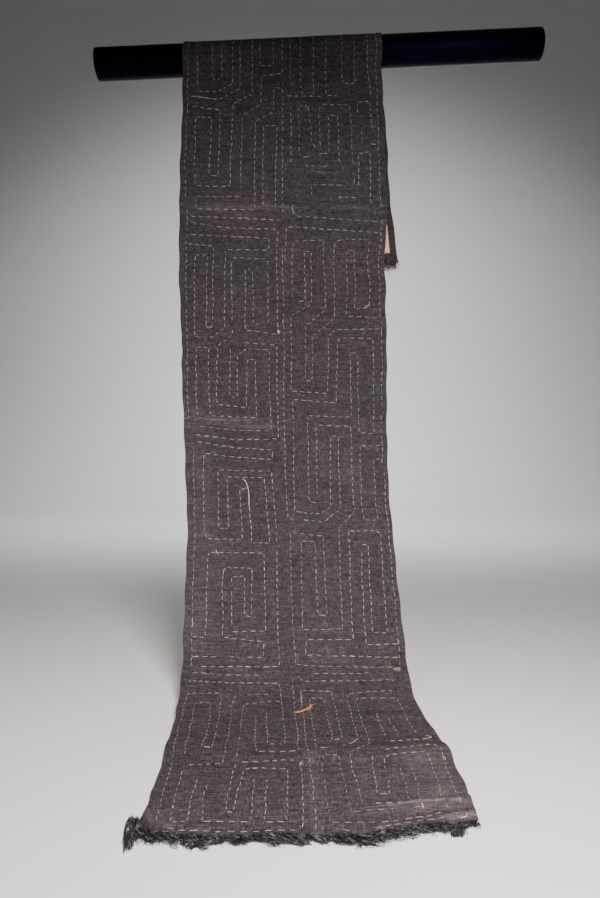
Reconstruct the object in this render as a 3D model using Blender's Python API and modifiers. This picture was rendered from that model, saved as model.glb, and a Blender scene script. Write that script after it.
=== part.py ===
"""A Kuba raffia cloth hung over a padded bar, its front end laid forward on the floor.

The cloth is five woven raffia panels sewn end to end, each lapped over the one below it, with hemmed edges
and a tufted fringe sewn along both ends. Metres, +Z up. The front of the cloth faces -Y. z = 0 is the floor.

The cloth's underside is one surface, underside(distance, across). distance runs along the cloth from its back
end, and across runs from -1 at its left edge to 1 at its right edge. All else is placed on that surface.
"""

import math
import random

import bmesh
import bpy
from mathutils import Vector

# The cloth
CLOTH_THICKNESS = 0.0015
HEM_THICKNESS = 0.003
HEM_WIDTH = 0.014
HEM_STEP = 0.002
SEAM_LAP = 0.012
SEAM_RAMP = 0.008
PIECE_GAP = 0.0003
END_BOW_LENGTH = 0.30

# How far the front end bows forward of its corners, at places across the cloth from -1 to 1
END_BOWS = (
    (-1.0, 0.0),
    (-0.9467, 0.0225),
    (-0.87, 0.0280),
    (-0.72, 0.0345),
    (-0.50, 0.0395),
    (-0.15, 0.0412),
    (0.10, 0.0400),
    (0.40, 0.0262),
    (0.52, 0.0225),
    (0.67, 0.0115),
    (0.87, 0.0060),
    (1.0, 0.0),
)

# The unevenness of its selvedges, as seen in their outline and from the side
EDGE_WAVER = 0.0022
EDGE_WAVER_LENGTHS = (0.115, 0.31)
EDGE_RIPPLE = 0.0035
EDGE_RIPPLE_LENGTHS = (0.21, 0.47)
RIPPLE_WIDTH = 0.45
RIPPLE_FADE = 0.16

# The bar
BAR_RADIUS = 0.046
BAR_LENGTH = 1.34
BAR_HEIGHT = 1.842
BAR_TILT = math.radians(2.64)
BAR_RIM = 0.003
BAR_SIDES = 48
BAR_DEPTH = 0.452
WRAP_STEPS = 18
LEFT_ON_BAR = -0.4025
RIGHT_ON_BAR = 0.1855

# The fringe
HEADING_RADIUS = 0.0025
HEADING_STEP = 0.07
FRONT_HEADING_RIGHT = 0.985
LOCK_RADIUS = 0.0016
LOCK_SPACING = 0.0050
LOCK_LENGTH = 0.031
LOCK_LENGTH_SPREAD = 0.006
LOCK_SWING = math.radians(24)
LOCK_SWING_PACES = (0.23, 0.61)
LOCK_FLOOR_GAP = 0.0001
LOCK_REACH = (0.0, 0.4, 1.0)
LOCK_TAPER = (1.0, 1.0, 0.5)

# The loose tail of the front fringe, from its free end: how far left of the cloth's corner and forward of it
FRONT_TAIL = ((0.012, 0.074), (0.021, 0.042), (0.025, 0.012), (0.016, 0.001))
TAIL_LOCK_SHARE = 0.72

# How finely the sheets are divided
ROW_STEP = 0.05
FLOOR_ROW_STEP = 0.02
INNER_COLUMNS = 9
NORMAL_REACH = 0.002

# Sections of the cloth's underside, from its back end up to the bar, and from the bar down to its front end.
# height: of the middle. forward: in front of the bar's axis. left, right: the edges, from the bar's middle.
# lift: how much higher the right edge is. swing: how much further forward the right edge is.
COLUMNS = ("name", "height", "forward", "left", "right", "lift", "swing")
BACK_SECTIONS = (
    ("back_end", 1.220, -0.0500, -0.352, 0.246, 0.060, 0.0),
    ("back_flare", 1.330, -0.0490, -0.360, 0.230, 0.056, 0.0),
    ("back_middle", 1.430, -0.0480, -0.367, 0.221, 0.050, 0.0),
    ("back_upper", 1.640, -0.0475, -0.382, 0.207, 0.038, 0.0),
    ("back_seam", 1.800, -0.0470, -0.393, 0.195, 0.029, 0.0),
)
FRONT_SECTIONS = (
    ("below_bar", 1.720, 0.0470, -0.403, 0.187, 0.018, 0.0),
    ("upper_seam", 1.365, 0.0475, -0.413, 0.199, -0.010, 0.0),
    ("upper_middle", 1.120, 0.0480, -0.412, 0.196, -0.014, 0.0),
    ("upper_low", 0.853, 0.0490, -0.404, 0.2005, -0.018, 0.0),
    ("middle_seam", 0.722, 0.0500, -0.400, 0.1985, -0.020, 0.0),
    ("lower_top", 0.559, 0.0560, -0.3925, 0.2045, -0.015, 0.0),
    ("lower_lean", 0.442, 0.0720, -0.386, 0.211, -0.012, 0.0),
    ("lower_slope", 0.333, 0.1120, -0.381, 0.216, -0.009, 0.0),
    ("lower_slant", 0.230, 0.1650, -0.376, 0.222, -0.006, 0.0),
    ("lower_foot", 0.134, 0.2230, -0.373, 0.225, -0.003, 0.0),
    ("floor_seam", 0.070, 0.2680, -0.367, 0.227, 0.0, 0.0),
    ("bend", 0.0225, 0.3650, -0.361, 0.233, 0.0, 0.0),
    ("floor_lifted", 0.0100, 0.4660, -0.353, 0.242, 0.0, 0.004),
    ("floor_middle", 0.0050, 0.6100, -0.3435, 0.258, 0.0, 0.0),
    ("floor_flat", 0.0, 0.7450, -0.337, 0.263, 0.0, -0.006),
    ("floor_hem", 0.0, 0.8180, -0.334, 0.260, 0.0, -0.012),
    ("front_end", 0.0, 0.8872, -0.336, 0.255, 0.0, -0.0047),
)

# Soft folds that lie across the cloth on the floor. centre_left, centre_right: where a fold's crest meets the
# cloth's edges, along the cloth. begins, full: where across the cloth it starts to rise and is whole.
FOLD_COLUMNS = ("name", "centre_left", "centre_right", "begins", "full", "height", "half_width")
FOLDS = (
    ("floor_wave", 2.965, 2.945, -1.2, 0.6, 0.0070, 0.050),
    ("front_ridge", 3.209, 3.154, 0.15, 0.55, 0.0060, 0.022),
)

CLOTH_COLOUR = (0.068, 0.056, 0.060)
FRINGE_COLOUR = (0.020, 0.017, 0.020)
BAR_COLOUR = (0.010, 0.007, 0.018)


def section_edges(row):
    """The left and right ends of one table row, as points."""
    section = dict(zip(COLUMNS, row))
    left = Vector(
        (
            section["left"],
            BAR_DEPTH - section["forward"] + section["swing"] / 2,
            section["height"] - section["lift"] / 2,
        )
    )
    right = Vector(
        (
            section["right"],
            BAR_DEPTH - section["forward"] - section["swing"] / 2,
            section["height"] + section["lift"] / 2,
        )
    )
    return section["name"], left, right


def wrap_edges():
    """Sections round the top of the bar, from its back to its front.

    A strip folded over a tilted bar creeps along it, so the back hangs a little to the right of the front.
    """
    along = Vector((math.cos(BAR_TILT), 0, math.sin(BAR_TILT)))
    up = Vector((-math.sin(BAR_TILT), 0, math.cos(BAR_TILT)))
    front = Vector((0, -1, 0))
    middle = Vector((0, BAR_DEPTH, BAR_HEIGHT))
    radius = (BAR_RADIUS + PIECE_GAP) / math.cos(math.pi / WRAP_STEPS / 2)
    creep = radius * math.pi * math.tan(BAR_TILT)
    for step in range(WRAP_STEPS + 1):
        share = step / WRAP_STEPS
        angle = math.pi * (1 - share)
        round_bar = radius * (front * math.cos(angle) + up * math.sin(angle))
        shift = creep * (1 - share)
        left = middle + along * (LEFT_ON_BAR + shift) + round_bar
        right = middle + along * (RIGHT_ON_BAR + shift) + round_bar
        yield f"wrap_{step}", left, right


def all_sections():
    """Every section in order as (name, left, right, distance along the cloth from its back end)."""
    edges = [section_edges(row) for row in BACK_SECTIONS]
    edges += list(wrap_edges())
    edges += [section_edges(row) for row in FRONT_SECTIONS]
    placed = []
    distance = 0.0
    for name, left, right in edges:
        if placed:
            distance += ((left + right) / 2 - (placed[-1][1] + placed[-1][2]) / 2).length
        placed.append((name, left, right, distance))
    return placed


SECTIONS = all_sections()
PLACE = {name: distance for name, _, _, distance in SECTIONS}
CLOTH_LENGTH = SECTIONS[-1][3]


def smooth_between(before, start, end, after, share, spans):
    """A cubic through start and end, sloped by their neighbours. spans are the three distances."""
    slope_start = (end - before) / (spans[0] + spans[1])
    slope_end = (after - start) / (spans[1] + spans[2])
    span = spans[1]
    return (
        start * (2 * share**3 - 3 * share**2 + 1)
        + slope_start * span * (share**3 - 2 * share**2 + share)
        + end * (3 * share**2 - 2 * share**3)
        + slope_end * span * (share**3 - share**2)
    )


def edge_points(distance):
    """The cloth's left and right edge at a distance along it."""
    last = len(SECTIONS) - 1
    k = 0
    while k < last - 1 and SECTIONS[k + 1][3] <= distance:
        k += 1
    rows = [SECTIONS[max(0, k - 1)], SECTIONS[k], SECTIONS[k + 1], SECTIONS[min(last, k + 2)]]
    spans = [max(rows[i + 1][3] - rows[i][3], 0.0) for i in range(3)]
    share = (distance - rows[1][3]) / spans[1]
    return [
        smooth_between(rows[0][side], rows[1][side], rows[2][side], rows[3][side], share, spans)
        for side in (1, 2)
    ]


def uneven(distance, lengths, phase):
    """A slow wave between about -1 and 1, from two wavelengths that don't repeat together."""
    short, long = lengths
    wave = 0.55 * math.sin(math.tau * distance / short + phase)
    return wave + 0.45 * math.sin(math.tau * distance / long + 2.3 * phase)


def ripple(distance, across, rise):
    """How far a hanging selvedge stands off its plane, fading out towards the bar, the end and the floor."""
    room = min(
        abs(distance - PLACE["wrap_0"]),
        abs(distance - PLACE[f"wrap_{WRAP_STEPS}"]),
        abs(distance - PLACE["bend"]),
        distance,
    )
    hanging = distance < PLACE["wrap_0"] or PLACE[f"wrap_{WRAP_STEPS}"] < distance < PLACE["bend"]
    if not hanging:
        return 0.0
    fade = min(1.0, room / RIPPLE_FADE) ** 2
    near_edge = max(0.0, (abs(across) - 1 + RIPPLE_WIDTH) / RIPPLE_WIDTH) ** 2
    return EDGE_RIPPLE * fade * near_edge * uneven(distance, EDGE_RIPPLE_LENGTHS, rise)


def fold_height(distance, across):
    """How far the folds lift the cloth off its smooth course."""
    lifted = 0.0
    for row in FOLDS:
        fold = dict(zip(FOLD_COLUMNS, row))
        centre = fold["centre_left"] + (fold["centre_right"] - fold["centre_left"]) * (across + 1) / 2
        beside = abs(distance - centre) / fold["half_width"]
        if beside < 1:
            risen = min(max((across - fold["begins"]) / (fold["full"] - fold["begins"]), 0.0), 1.0)
            lifted += fold["height"] * risen * (0.5 + 0.5 * math.cos(math.pi * beside))
    return lifted


def end_bow(across):
    """How far the front end stands forward of the line between its corners."""
    for (start, low), (end, high) in zip(END_BOWS, END_BOWS[1:]):
        if across <= end:
            break
    return low + (high - low) * (across - start) / (end - start)


def underside(distance, across):
    """A point of the cloth's underside. across runs from -1 at the left edge to 1 at the right edge."""
    distance = min(max(distance, 0.0), CLOTH_LENGTH)
    left, right = edge_points(distance)
    left.x += EDGE_WAVER * uneven(distance, EDGE_WAVER_LENGTHS, 0.4)
    right.x += EDGE_WAVER * uneven(distance, EDGE_WAVER_LENGTHS, 2.9)
    point = left.lerp(right, (across + 1) / 2)
    point.y -= ripple(distance, across, 1.1 if across < 0 else 4.0)
    into_end = max(0.0, 1 - (CLOTH_LENGTH - distance) / END_BOW_LENGTH)
    point.y -= end_bow(across) * into_end**2
    point.z = max(point.z, 0.0) + fold_height(distance, across)
    return point


def outward(distance, across):
    """The direction from the underside to the face of the cloth."""
    along = underside(distance + NORMAL_REACH, across) - underside(distance - NORMAL_REACH, across)
    sideways = underside(distance, across + NORMAL_REACH) - underside(distance, across - NORMAL_REACH)
    return along.cross(sideways).normalized()


def across_columns():
    """The positions across the cloth of a sheet's columns: each hem, its step, and the even middle."""
    half = (SECTIONS[0][2] - SECTIONS[0][1]).length / 2
    hem = 1 - HEM_WIDTH / half
    inside = 1 - (HEM_WIDTH + HEM_STEP) / half
    middle = [inside * (2 * i / INNER_COLUMNS - 1) for i in range(INNER_COLUMNS + 1)]
    return [-1.0, -hem] + middle + [hem, 1.0]


def even_steps(start, end, longest):
    """Numbers from start to end, both included, no further apart than longest."""
    count = max(1, math.ceil((end - start) / longest - 1e-6))
    return [start + (end - start) * i / count for i in range(count + 1)]


def panel_rows(start, end, lap_start, lap_end, hem_start, hem_end):
    """The distances of a sheet's rows: one at each end of a lap or hem and at each step round the bar."""
    fixed = {start, end}
    if lap_start:
        fixed |= {start + SEAM_LAP + PIECE_GAP, start + SEAM_LAP + SEAM_RAMP}
    elif not hem_start:
        fixed |= {start + SEAM_LAP}
    if lap_end:
        fixed |= {end - SEAM_LAP - PIECE_GAP, end - SEAM_LAP - SEAM_RAMP}
    elif not hem_end:
        fixed |= {end - SEAM_LAP}
    if hem_start:
        fixed |= {start + HEM_WIDTH, start + HEM_WIDTH + HEM_STEP}
    if hem_end:
        fixed |= {end - HEM_WIDTH, end - HEM_WIDTH - HEM_STEP}
    fixed |= {place for name, place in PLACE.items() if name.startswith("wrap") and start < place < end}
    stops = sorted(fixed)
    rows = [stops[0]]
    on_floor = PLACE["floor_seam"] - SEAM_LAP / 2
    for low, high in zip(stops, stops[1:]):
        rows += even_steps(low, high, FLOOR_ROW_STEP if low > on_floor else ROW_STEP)[1:]
    return rows


def doubled(distance, across, start, end, hem_start, hem_end):
    """Whether a point of a sheet lies in a hem, where the cloth is folded double."""
    half = (SECTIONS[0][2] - SECTIONS[0][1]).length / 2
    in_side = abs(across) > 1 - (HEM_WIDTH + HEM_STEP / 2) / half
    in_start = hem_start and distance < start + HEM_WIDTH + HEM_STEP / 2
    in_end = hem_end and distance > end - HEM_WIDTH - HEM_STEP / 2
    return in_side or in_start or in_end


def new_material(name, colour, roughness):
    material = bpy.data.materials.new(name)
    material.use_nodes = True
    shader = material.node_tree.nodes["Principled BSDF"]
    shader.inputs["Base Color"].default_value = (*colour, 1)
    shader.inputs["Roughness"].default_value = roughness
    shader.inputs["Metallic"].default_value = 0.0
    material.diffuse_color = (*colour, 1)
    return material


def add_panel(collection, name, start, end, lap_start=False, lap_end=False, hem_start=False, hem_end=False):
    """One woven panel: a grid on the draped surface, thickened outward, twice as thick in its hems."""
    rows = panel_rows(start, end, lap_start, lap_end, hem_start, hem_end)
    columns = across_columns()
    shape = bmesh.new()
    bmesh.ops.create_grid(shape, x_segments=len(columns) - 1, y_segments=len(rows) - 1, size=1)
    hem_points = []
    for vertex in shape.verts:
        column = round((vertex.co.x + 1) / 2 * (len(columns) - 1))
        row = round((vertex.co.y + 1) / 2 * (len(rows) - 1))
        distance, across = rows[row], columns[column]
        in_hem = doubled(distance, across, start, end, hem_start, hem_end)
        over_start = lap_start and distance < start + SEAM_LAP + SEAM_RAMP / 2
        over_end = lap_end and distance > end - SEAM_LAP - SEAM_RAMP / 2
        below = HEM_THICKNESS if in_hem else CLOTH_THICKNESS
        raised = below + PIECE_GAP if over_start or over_end else 0.0
        vertex.co = underside(distance, across) + outward(distance, across) * raised
        if in_hem:
            hem_points.append(vertex.index)
    mesh = bpy.data.meshes.new(name)
    shape.to_mesh(mesh)
    shape.free()
    panel = bpy.data.objects.new(name, mesh)
    collection.objects.link(panel)
    group = panel.vertex_groups.new(name="hem")
    group.add(hem_points, 1.0, "REPLACE")
    thicken = panel.modifiers.new("Thickness", "SOLIDIFY")
    thicken.thickness = HEM_THICKNESS
    thicken.offset = -1.0
    thicken.vertex_group = group.name
    thicken.thickness_vertex_group = CLOTH_THICKNESS / HEM_THICKNESS
    mesh.materials.append(new_material(name + "_raffia", CLOTH_COLOUR, 0.85))
    return panel


def tubes_mesh(name, paths, radius):
    """Closed four-sided strands along paths of (point, share of the radius), as one mesh."""
    curve = bpy.data.curves.new(name, "CURVE")
    curve.dimensions = "3D"
    curve.bevel_depth = radius
    curve.bevel_resolution = 0
    curve.use_fill_caps = True
    for path in paths:
        spline = curve.splines.new("POLY")
        spline.points.add(len(path) - 1)
        for point, (place, share) in zip(spline.points, path):
            point.co = (*place, 1)
            point.radius = share
    guide = bpy.data.objects.new(name, curve)
    bpy.context.scene.collection.objects.link(guide)
    bpy.context.view_layer.update()
    evaluated = guide.evaluated_get(bpy.context.evaluated_depsgraph_get())
    mesh = bpy.data.meshes.new_from_object(evaluated)
    bpy.data.objects.remove(guide)
    shape = bmesh.new()
    shape.from_mesh(mesh)
    bmesh.ops.remove_doubles(shape, verts=shape.verts, dist=0.00001)
    bmesh.ops.recalc_face_normals(shape, faces=shape.faces)
    shape.to_mesh(mesh)
    shape.free()
    return mesh


def add_fringe(collection, cutters, name, heading, locks):
    """A fringe: a heading cord with tapering locks fused into it."""
    strands = bpy.data.objects.new(name + "_locks", tubes_mesh(name + "_locks", locks, LOCK_RADIUS))
    cutters.objects.link(strands)
    strands.hide_render = True
    strands.display_type = "WIRE"
    cord_path = [(point, 1.0) for point in heading]
    fringe = bpy.data.objects.new(name, tubes_mesh(name, [cord_path], HEADING_RADIUS))
    collection.objects.link(fringe)
    fringe.data.materials.append(new_material(name + "_raffia", FRINGE_COLOUR, 0.95))
    join = fringe.modifiers.new("Locks", "BOOLEAN")
    join.operation = "UNION"
    join.solver = "EXACT"
    join.object = strands
    return fringe


def places_along(path, step):
    """(point, direction) at even steps along a path of points."""
    lengths = [(b - a).length for a, b in zip(path, path[1:])]
    count = round(sum(lengths) / step)
    found = []
    for i in range(count):
        wanted = (i + 0.5) * step
        k = 0
        while k < len(lengths) - 1 and wanted > lengths[k]:
            wanted -= lengths[k]
            k += 1
        direction = (path[k + 1] - path[k]).normalized()
        found.append((path[k] + direction * wanted, direction))
    return found


def lock_swing(index, phase):
    """How far a lock leans along the heading: it drifts slowly, so that neighbours stay apart."""
    slow, quick = LOCK_SWING_PACES
    return LOCK_SWING * (0.6 * math.sin(index * slow + phase) + 0.4 * math.sin(index * quick + 2 * phase))


# What the front locks do in turn: their share of the full length, and the heights of their three points.
FRONT_ARCHES = (
    {"length": 1.0, "heights": (0.0, 0.0, 0.0)},
    {"length": 0.95, "heights": (0.0007, 0.0050, 0.0034)},
    {"length": 0.85, "heights": (0.0012, 0.0100, 0.0078)},
)


def front_fringe_heading():
    """The fringe's heading, as two paths: a loose tail left of the cloth's corner, and the front end."""
    offset = HEADING_RADIUS + 2 * PIECE_GAP
    places = [-1.0] + across_columns()[2:-2] + [FRONT_HEADING_RIGHT]
    edge = [underside(CLOTH_LENGTH, across) for across in places]
    path = []
    for k, point in enumerate(edge):
        before = (point - edge[max(k - 1, 0)]).normalized()
        after = (edge[min(k + 1, len(edge) - 1)] - point).normalized()
        direction = (before + after).normalized()
        reach = offset / max(direction.dot(before), direction.dot(after))
        path.append(Vector((point.x + direction.y * reach, point.y - direction.x * reach, HEADING_RADIUS)))
    return [path[0] - Vector((left, forward, 0)) for left, forward in FRONT_TAIL], path


def front_fringe_locks(tail, front):
    """Locks in turn along the floor, in a low arch and in a high one. The heading is bare round the corner."""
    spread = random.Random(5)
    locks = []
    places = [(*place, TAIL_LOCK_SHARE) for place in places_along(tail[:-1], LOCK_SPACING)]
    places += [(*place, 1.0) for place in places_along(front[1:], LOCK_SPACING)]
    for index, (root, direction, full) in enumerate(places):
        ahead = Vector((direction.y, -direction.x, 0))
        swing = lock_swing(index // 3, 0.7)
        towards = ahead * math.cos(swing) + direction * math.sin(swing)
        arch = FRONT_ARCHES[index % 3]
        length = (LOCK_LENGTH + spread.uniform(-1, 1) * LOCK_LENGTH_SPREAD) * arch["length"] * full
        path = []
        for part, share, height in zip(LOCK_REACH, LOCK_TAPER, arch["heights"]):
            place = root + towards * length * part
            place.z = LOCK_RADIUS * share + LOCK_FLOOR_GAP + height
            path.append((place, share))
        locks.append(path)
    return locks


# How far the back locks stand off their plane in turn, at the middle of their length.
BACK_STAND_OFFS = (-0.003, 0.004, 0.011)


def back_fringe_heading():
    """The fringe's heading just below the back end."""
    path = []
    for across in even_steps(-1.0, 1.0, HEADING_STEP):
        end = underside(0.0, across)
        down = (end - underside(HEM_WIDTH, across)).normalized()
        point = end + down * (HEADING_RADIUS + PIECE_GAP) + outward(0.0, across) * HEADING_RADIUS
        path.append(point)
    return path


def back_fringe_locks(heading):
    """Locks that hang from the heading, in turn straight down, a little to the back and further back."""
    spread = random.Random(9)
    locks = []
    for index, (root, direction) in enumerate(places_along(heading, LOCK_SPACING)):
        down = Vector((direction.z, 0, -direction.x)).normalized()
        swing = lock_swing(index // 3, 1.9)
        towards = down * math.cos(swing) + direction * math.sin(swing)
        length = LOCK_LENGTH + spread.uniform(-1, 1) * LOCK_LENGTH_SPREAD
        path = []
        for part, share in zip(LOCK_REACH, LOCK_TAPER):
            place = root + towards * length * part
            place.y += BACK_STAND_OFFS[index % 3] * math.sin(part * math.pi * 0.6)
            path.append((place, share))
        locks.append(path)
    return locks


def add_bar(collection):
    """The padded bar, straight and a little higher on the right, with rounded rims."""
    bpy.ops.mesh.primitive_cylinder_add(
        vertices=BAR_SIDES,
        radius=BAR_RADIUS,
        depth=BAR_LENGTH,
        location=(0, BAR_DEPTH, BAR_HEIGHT),
        rotation=(0, math.pi / 2 - BAR_TILT, 0),
    )
    bar = bpy.context.object
    bar.name = "bar"
    bar.data.name = "bar"
    rims = bar.modifiers.new("Rims", "BEVEL")
    rims.width = BAR_RIM
    rims.segments = 2
    rims.limit_method = "ANGLE"
    rims.angle_limit = math.radians(60)
    bar.data.shade_smooth()
    bar.data.set_sharp_from_angle(angle=math.radians(50))
    bar.data.materials.append(new_material("bar_cover", BAR_COLOUR, 0.9))
    for holder in list(bar.users_collection):
        holder.objects.unlink(bar)
    collection.objects.link(bar)
    return bar


def main():
    for old in list(bpy.data.objects):
        bpy.data.objects.remove(old)
    parts = bpy.data.collections.new("kuba_cloth_on_bar")
    cutters = bpy.data.collections.new("joined_shapes")
    bpy.context.scene.collection.children.link(parts)
    bpy.context.scene.collection.children.link(cutters)

    back_seam = PLACE["back_seam"]
    upper_seam = PLACE["upper_seam"]
    middle_seam = PLACE["middle_seam"]
    floor_seam = PLACE["floor_seam"]
    add_panel(parts, "panel_back", 0.0, back_seam + SEAM_LAP, hem_start=True)
    add_panel(parts, "panel_over_bar", back_seam, upper_seam, lap_start=True, lap_end=True)
    add_panel(parts, "panel_upper", upper_seam - SEAM_LAP, middle_seam, lap_end=True)
    add_panel(parts, "panel_lower", middle_seam - SEAM_LAP, floor_seam, lap_end=True)
    add_panel(parts, "panel_floor", floor_seam - SEAM_LAP, CLOTH_LENGTH, hem_end=True)

    tail, front = front_fringe_heading()
    add_fringe(parts, cutters, "fringe_front", tail + front, front_fringe_locks(tail, front))
    back_heading = back_fringe_heading()
    add_fringe(parts, cutters, "fringe_back", back_heading, back_fringe_locks(back_heading))
    add_bar(parts)


main()
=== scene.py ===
"""The looks of a Kuba raffia cloth hung over a padded bar, its front end laid forward on the floor.

The five woven panels are fine sheets on the same draped surface as their solids. The fret pattern is running
stitches of raffia, each one its own small shape, laid on that surface from a chart in centimetres.
Metres, +Z up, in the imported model's frame. The front of the cloth faces -Y, and z = 0 is the floor.
"""

import math

import bpy
import numpy as np
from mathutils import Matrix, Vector


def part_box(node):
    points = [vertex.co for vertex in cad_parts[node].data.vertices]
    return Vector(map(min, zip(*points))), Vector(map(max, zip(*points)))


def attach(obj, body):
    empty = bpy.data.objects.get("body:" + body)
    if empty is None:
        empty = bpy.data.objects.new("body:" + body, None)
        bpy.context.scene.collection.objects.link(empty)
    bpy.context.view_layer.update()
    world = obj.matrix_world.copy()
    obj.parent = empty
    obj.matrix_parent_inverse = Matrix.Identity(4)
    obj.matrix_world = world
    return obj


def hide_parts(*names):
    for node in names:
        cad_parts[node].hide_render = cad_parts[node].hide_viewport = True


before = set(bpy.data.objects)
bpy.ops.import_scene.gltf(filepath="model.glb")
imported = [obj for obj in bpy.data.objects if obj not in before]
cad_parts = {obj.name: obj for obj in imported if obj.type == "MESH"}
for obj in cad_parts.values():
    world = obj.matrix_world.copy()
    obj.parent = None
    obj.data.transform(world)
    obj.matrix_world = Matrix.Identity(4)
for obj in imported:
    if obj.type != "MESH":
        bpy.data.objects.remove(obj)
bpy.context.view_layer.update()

# The seeds of everything drawn at random
CREASE_SEED, STITCH_SEED, THREAD_SEED, COVER_SEED = 11, 21, 8, 9
FRONT_FRINGE_SEED, BACK_FRINGE_SEED, BACK_CLUMP_SEED = 31, 37, 6

# The bar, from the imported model
BAR_LOW, BAR_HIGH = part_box("bar")
BAR_MIDDLE = (BAR_LOW + BAR_HIGH) / 2
BAR_RADIUS = (BAR_HIGH.y - BAR_LOW.y) / 2
BAR_TILT = math.radians(2.64)
BAR_LENGTH = 1.34
BAR_RIM = 0.003
BAR_ALONG = np.array([math.cos(BAR_TILT), 0.0, math.sin(BAR_TILT)])
BAR_UP = np.array([-math.sin(BAR_TILT), 0.0, math.cos(BAR_TILT)])
BAR_FRONT = np.array([0.0, -1.0, 0.0])

# The cloth's drape, as in the solids
CLOTH_WIDTH = 0.60
PIECE_GAP = 0.0003
WRAP_STEPS = 18
LEFT_ON_BAR = -0.4025
RIGHT_ON_BAR = 0.1855
# The selvedges' waver to the sides and ripple to front and back: size, wavelengths, phases left and right
EDGE_WAVER, EDGE_WAVER_LENGTHS, EDGE_WAVER_PHASES = 0.0022, (0.115, 0.31), (0.4, 2.9)
EDGE_RIPPLE, EDGE_RIPPLE_LENGTHS, EDGE_RIPPLE_PHASES = 0.0035, (0.21, 0.47), (1.1, 4.0)
# The shares of each one's two waves, and the second one's phase over the first one's
WAVE_SHARES, PHASE_RATIO = (0.55, 0.45), 2.3
RIPPLE_WIDTH = 0.45
RIPPLE_FADE = 0.16
END_BOW_LENGTH = 0.30
# How far the front end bows forward of its corners, at places across the cloth from -1 to 1
END_BOWS = (
    (-1.0, 0.0), (-0.9467, 0.0225), (-0.87, 0.0280), (-0.72, 0.0345), (-0.50, 0.0395), (-0.15, 0.0412),
    (0.10, 0.0400), (0.40, 0.0262), (0.52, 0.0225), (0.67, 0.0115), (0.87, 0.0060), (1.0, 0.0),
)

# Sections of the cloth's underside, from its back end up to the bar, and from the bar down to its front end.
# height: of the middle. forward: in front of the bar's axis. left, right: the edges, from the bar's middle.
# lift: how much higher the right edge is. swing: how much further forward the right edge is.
COLUMNS = ("name", "height", "forward", "left", "right", "lift", "swing")
BACK_SECTIONS = (
    ("back_end", 1.220, -0.0500, -0.352, 0.246, 0.060, 0.0),
    ("back_flare", 1.330, -0.0490, -0.360, 0.230, 0.056, 0.0),
    ("back_middle", 1.430, -0.0480, -0.367, 0.221, 0.050, 0.0),
    ("back_upper", 1.640, -0.0475, -0.382, 0.207, 0.038, 0.0),
    ("back_seam", 1.800, -0.0470, -0.393, 0.195, 0.029, 0.0),
)
FRONT_SECTIONS = (
    ("below_bar", 1.720, 0.0470, -0.403, 0.187, 0.018, 0.0),
    ("upper_seam", 1.365, 0.0475, -0.413, 0.199, -0.010, 0.0),
    ("upper_middle", 1.120, 0.0480, -0.412, 0.196, -0.014, 0.0),
    ("upper_low", 0.853, 0.0490, -0.404, 0.2005, -0.018, 0.0),
    ("middle_seam", 0.722, 0.0500, -0.400, 0.1985, -0.020, 0.0),
    ("lower_top", 0.559, 0.0560, -0.3925, 0.2045, -0.015, 0.0),
    ("lower_lean", 0.442, 0.0720, -0.386, 0.211, -0.012, 0.0),
    ("lower_slope", 0.333, 0.1120, -0.381, 0.216, -0.009, 0.0),
    ("lower_slant", 0.230, 0.1650, -0.376, 0.222, -0.006, 0.0),
    ("lower_foot", 0.134, 0.2230, -0.373, 0.225, -0.003, 0.0),
    ("floor_seam", 0.070, 0.2680, -0.367, 0.227, 0.0, 0.0),
    ("bend", 0.0225, 0.3650, -0.361, 0.233, 0.0, 0.0),
    ("floor_lifted", 0.0100, 0.4660, -0.353, 0.242, 0.0, 0.004),
    ("floor_middle", 0.0050, 0.6100, -0.3435, 0.258, 0.0, 0.0),
    ("floor_flat", 0.0, 0.7450, -0.337, 0.263, 0.0, -0.006),
    ("floor_hem", 0.0, 0.8180, -0.334, 0.260, 0.0, -0.012),
    ("front_end", 0.0, 0.8872, -0.336, 0.255, 0.0, -0.0047),
)
FOLD_COLUMNS = ("name", "centre_left", "centre_right", "begins", "full", "height", "half_width")
FOLDS = (
    ("floor_wave", 2.965, 2.945, -1.2, 0.6, 0.0070, 0.050),
    ("front_ridge", 3.209, 3.154, 0.15, 0.55, 0.0060, 0.022),
)

# What the sheets add to that drape.
# How much further the front end runs, over its last centimetres, at places across the cloth from -1 to 1
END_STRETCH = (
    (-1.0, 0.002), (-0.95, 0.004), (-0.89, 0.0085), (-0.77, 0.0125), (-0.65, 0.0095), (-0.53, 0.011),
    (-0.33, 0.008), (-0.20, 0.002), (-0.10, 0.002), (0.07, 0.0095), (0.20, 0.0155), (0.32, 0.018),
    (0.42, 0.010), (0.53, 0.002), (0.67, 0.0045), (1.0, 0.005),
)
END_STRETCH_LENGTH = 0.020
# How much lower the back end hangs, over its last centimetres
BACK_STRETCH = 0.016
BACK_STRETCH_LENGTH = 0.060
# Where a selvedge bulges or runs in: -1 left or 1 right, the distance, half length, and shift to the right
EDGE_DENTS = (
    (1, 1.375, 0.050, -0.0060), (1, 1.470, 0.040, 0.0022), (1, 2.965, 0.045, 0.0030),
    (-1, 1.677, 0.020, 0.0045), (-1, 2.690, 0.035, 0.0022), (-1, 2.912, 0.030, -0.0040),
    (-1, 3.120, 0.030, -0.0055),
)

# The sheets: their thickness, their hems and the steps beside them, and how they are lapped
SHEET = 0.0013
REVERSE_LIFT = 0.0001
HEM_WIDTH, BACK_HEM_WIDTH = 0.014, 0.021
HEM_STEP = 0.003
HEM_CUT = 0.0002
SEAM_LAP = 0.012
SEAM_RAMP = 0.008
LAP_RAISE = 0.0018
GRID_STEP = 0.005
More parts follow.
